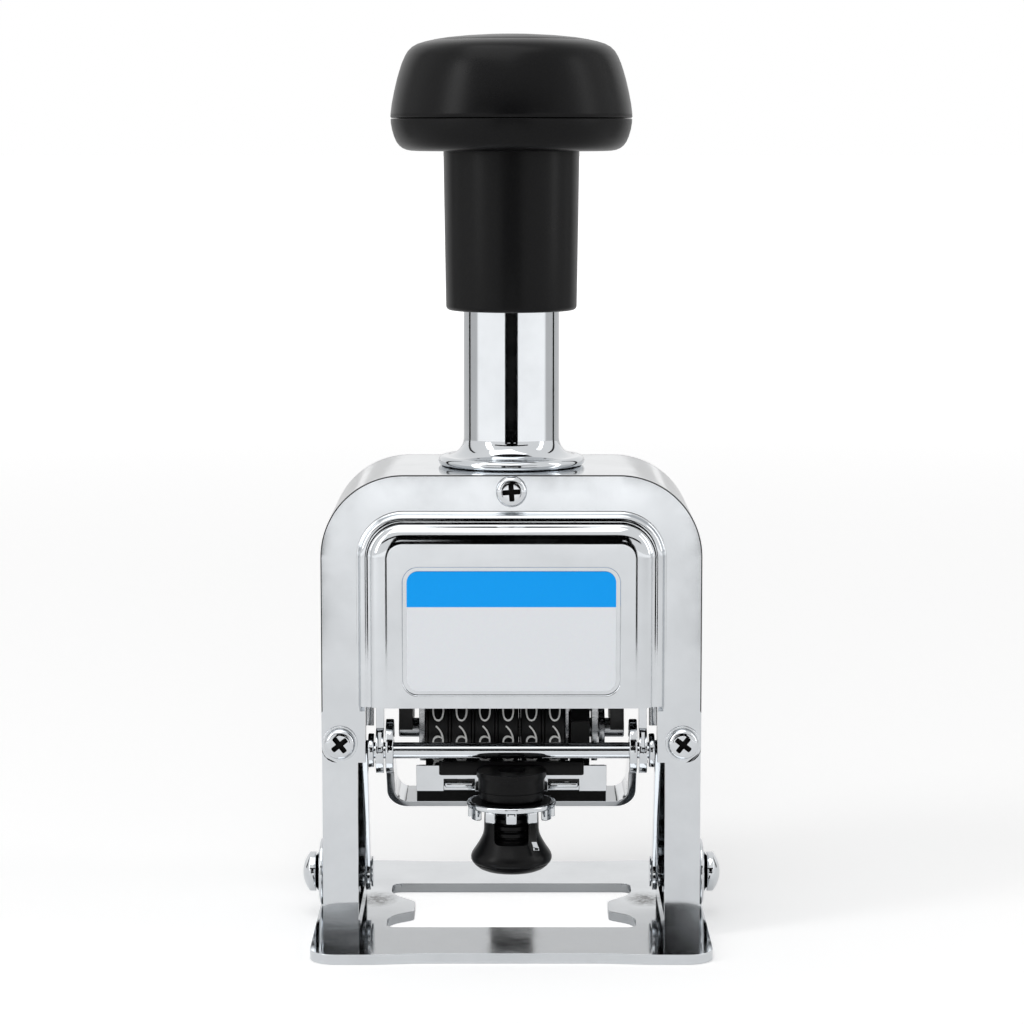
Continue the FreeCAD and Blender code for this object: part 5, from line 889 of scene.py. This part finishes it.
# Toothed ring: a stamped and chromed washer, its top blackened, with twelve
# teeth bent down at the rim.
ring = turned("grip_toothed_ring", [(2.3, 20.8), (6.55, 20.8)] + arc((6.6, 21.0), 0.2, -90, 0, 4)
              + arc((6.55, 21.35), 0.25, 0, 90, 4) + [(6.1, 21.6), (2.3, 21.6), (2.3, 20.8)], 96)
teeth = []
for number in range(12):
    bpy.ops.object.select_all(action="DESELECT")
    bpy.ops.mesh.primitive_cube_add(size=1.0, location=(6.1 * MM, 0.0, 20.05 * MM),
        scale=(1.0 * MM, 1.6 * MM, 1.8 * MM))
    tooth = bpy.context.object
    bpy.ops.object.transform_apply(location=True, rotation=True, scale=True)
    broken_edges(tooth, 0.2, segments=3)
    teeth.append(placed_copy(tooth, "tooth", (0.0, 0.0, math.radians(30.0 * number))))
    bpy.data.objects.remove(tooth)
ring = joined("grip_toothed_ring", [ring] + teeth)
ring.location = GRIP_PLACE
ring.data.materials.append(chrome)
ring.data.materials.append(plastic)
for face in ring.data.polygons:
    reach = math.hypot(face.center.x, face.center.y)
    face.material_index = 1 if face.center.z > 21.59 * MM and reach < 6.2 * MM else 0
finish_piece(ring, "pad_grip", None, ["lock_ring"], flat=False)
# Catch: a black sprung leaf that hangs from the ring beside the neck, bent
# out over the cone, with a bright bare tip.
bpy.ops.object.select_all(action="DESELECT")
bpy.ops.mesh.primitive_cube_add(size=1.0, location=(3.0 * MM, -18.7 * MM, 20.2 * MM),
    scale=(0.9 * MM, 0.4 * MM, 0.4 * MM))
leaf = bpy.context.object
leaf.name = "grip_catch"
bpy.ops.object.transform_apply(location=True, rotation=True, scale=True)
start_editing(leaf, "DESELECT")
bpy.ops.mesh.select_mode(type="FACE")
bpy.ops.object.mode_set(mode="OBJECT")
for face in leaf.data.polygons:
    face.select = face.normal.z < -0.9
bpy.ops.object.mode_set(mode="EDIT")
for step in ((0.2, -0.3, -1.0), (0.1, -0.3, -1.0), (0.0, -0.3, -1.0), (0.12, -0.35, -0.9), (0.25, -0.4, -0.7),
    (0.1, -0.2, -0.5)):
    bpy.ops.mesh.extrude_region_move(TRANSFORM_OT_translate={"value": [v * MM for v in step]})
bpy.ops.object.mode_set(mode="OBJECT")
broken_edges(leaf, 0.08)
leaf.data.materials.append(black_metal)
leaf.data.materials.append(chrome)
for face in leaf.data.polygons:
    face.material_index = 1 if face.center.z < 15.75 * MM else 0
finish_piece(leaf, "pad_grip", None, ["knob_latch"])


# Side levers: long chromed levers inside the legs on domed studs, each stud
# with a dished chrome disc outside the leg.
for side, out in (("left", -1), ("right", 1)):
    dressed("lever_%s_long" % side, "side_lever_" + side, "lever_" + side, chrome, 0.1)
    dressed("lever_%s_stud" % side, "side_stud_" + side, "frame", chrome, 0.08)
    dressed("lever_%s_disc" % side, "side_disc_" + side, "frame", chrome, 0.08)
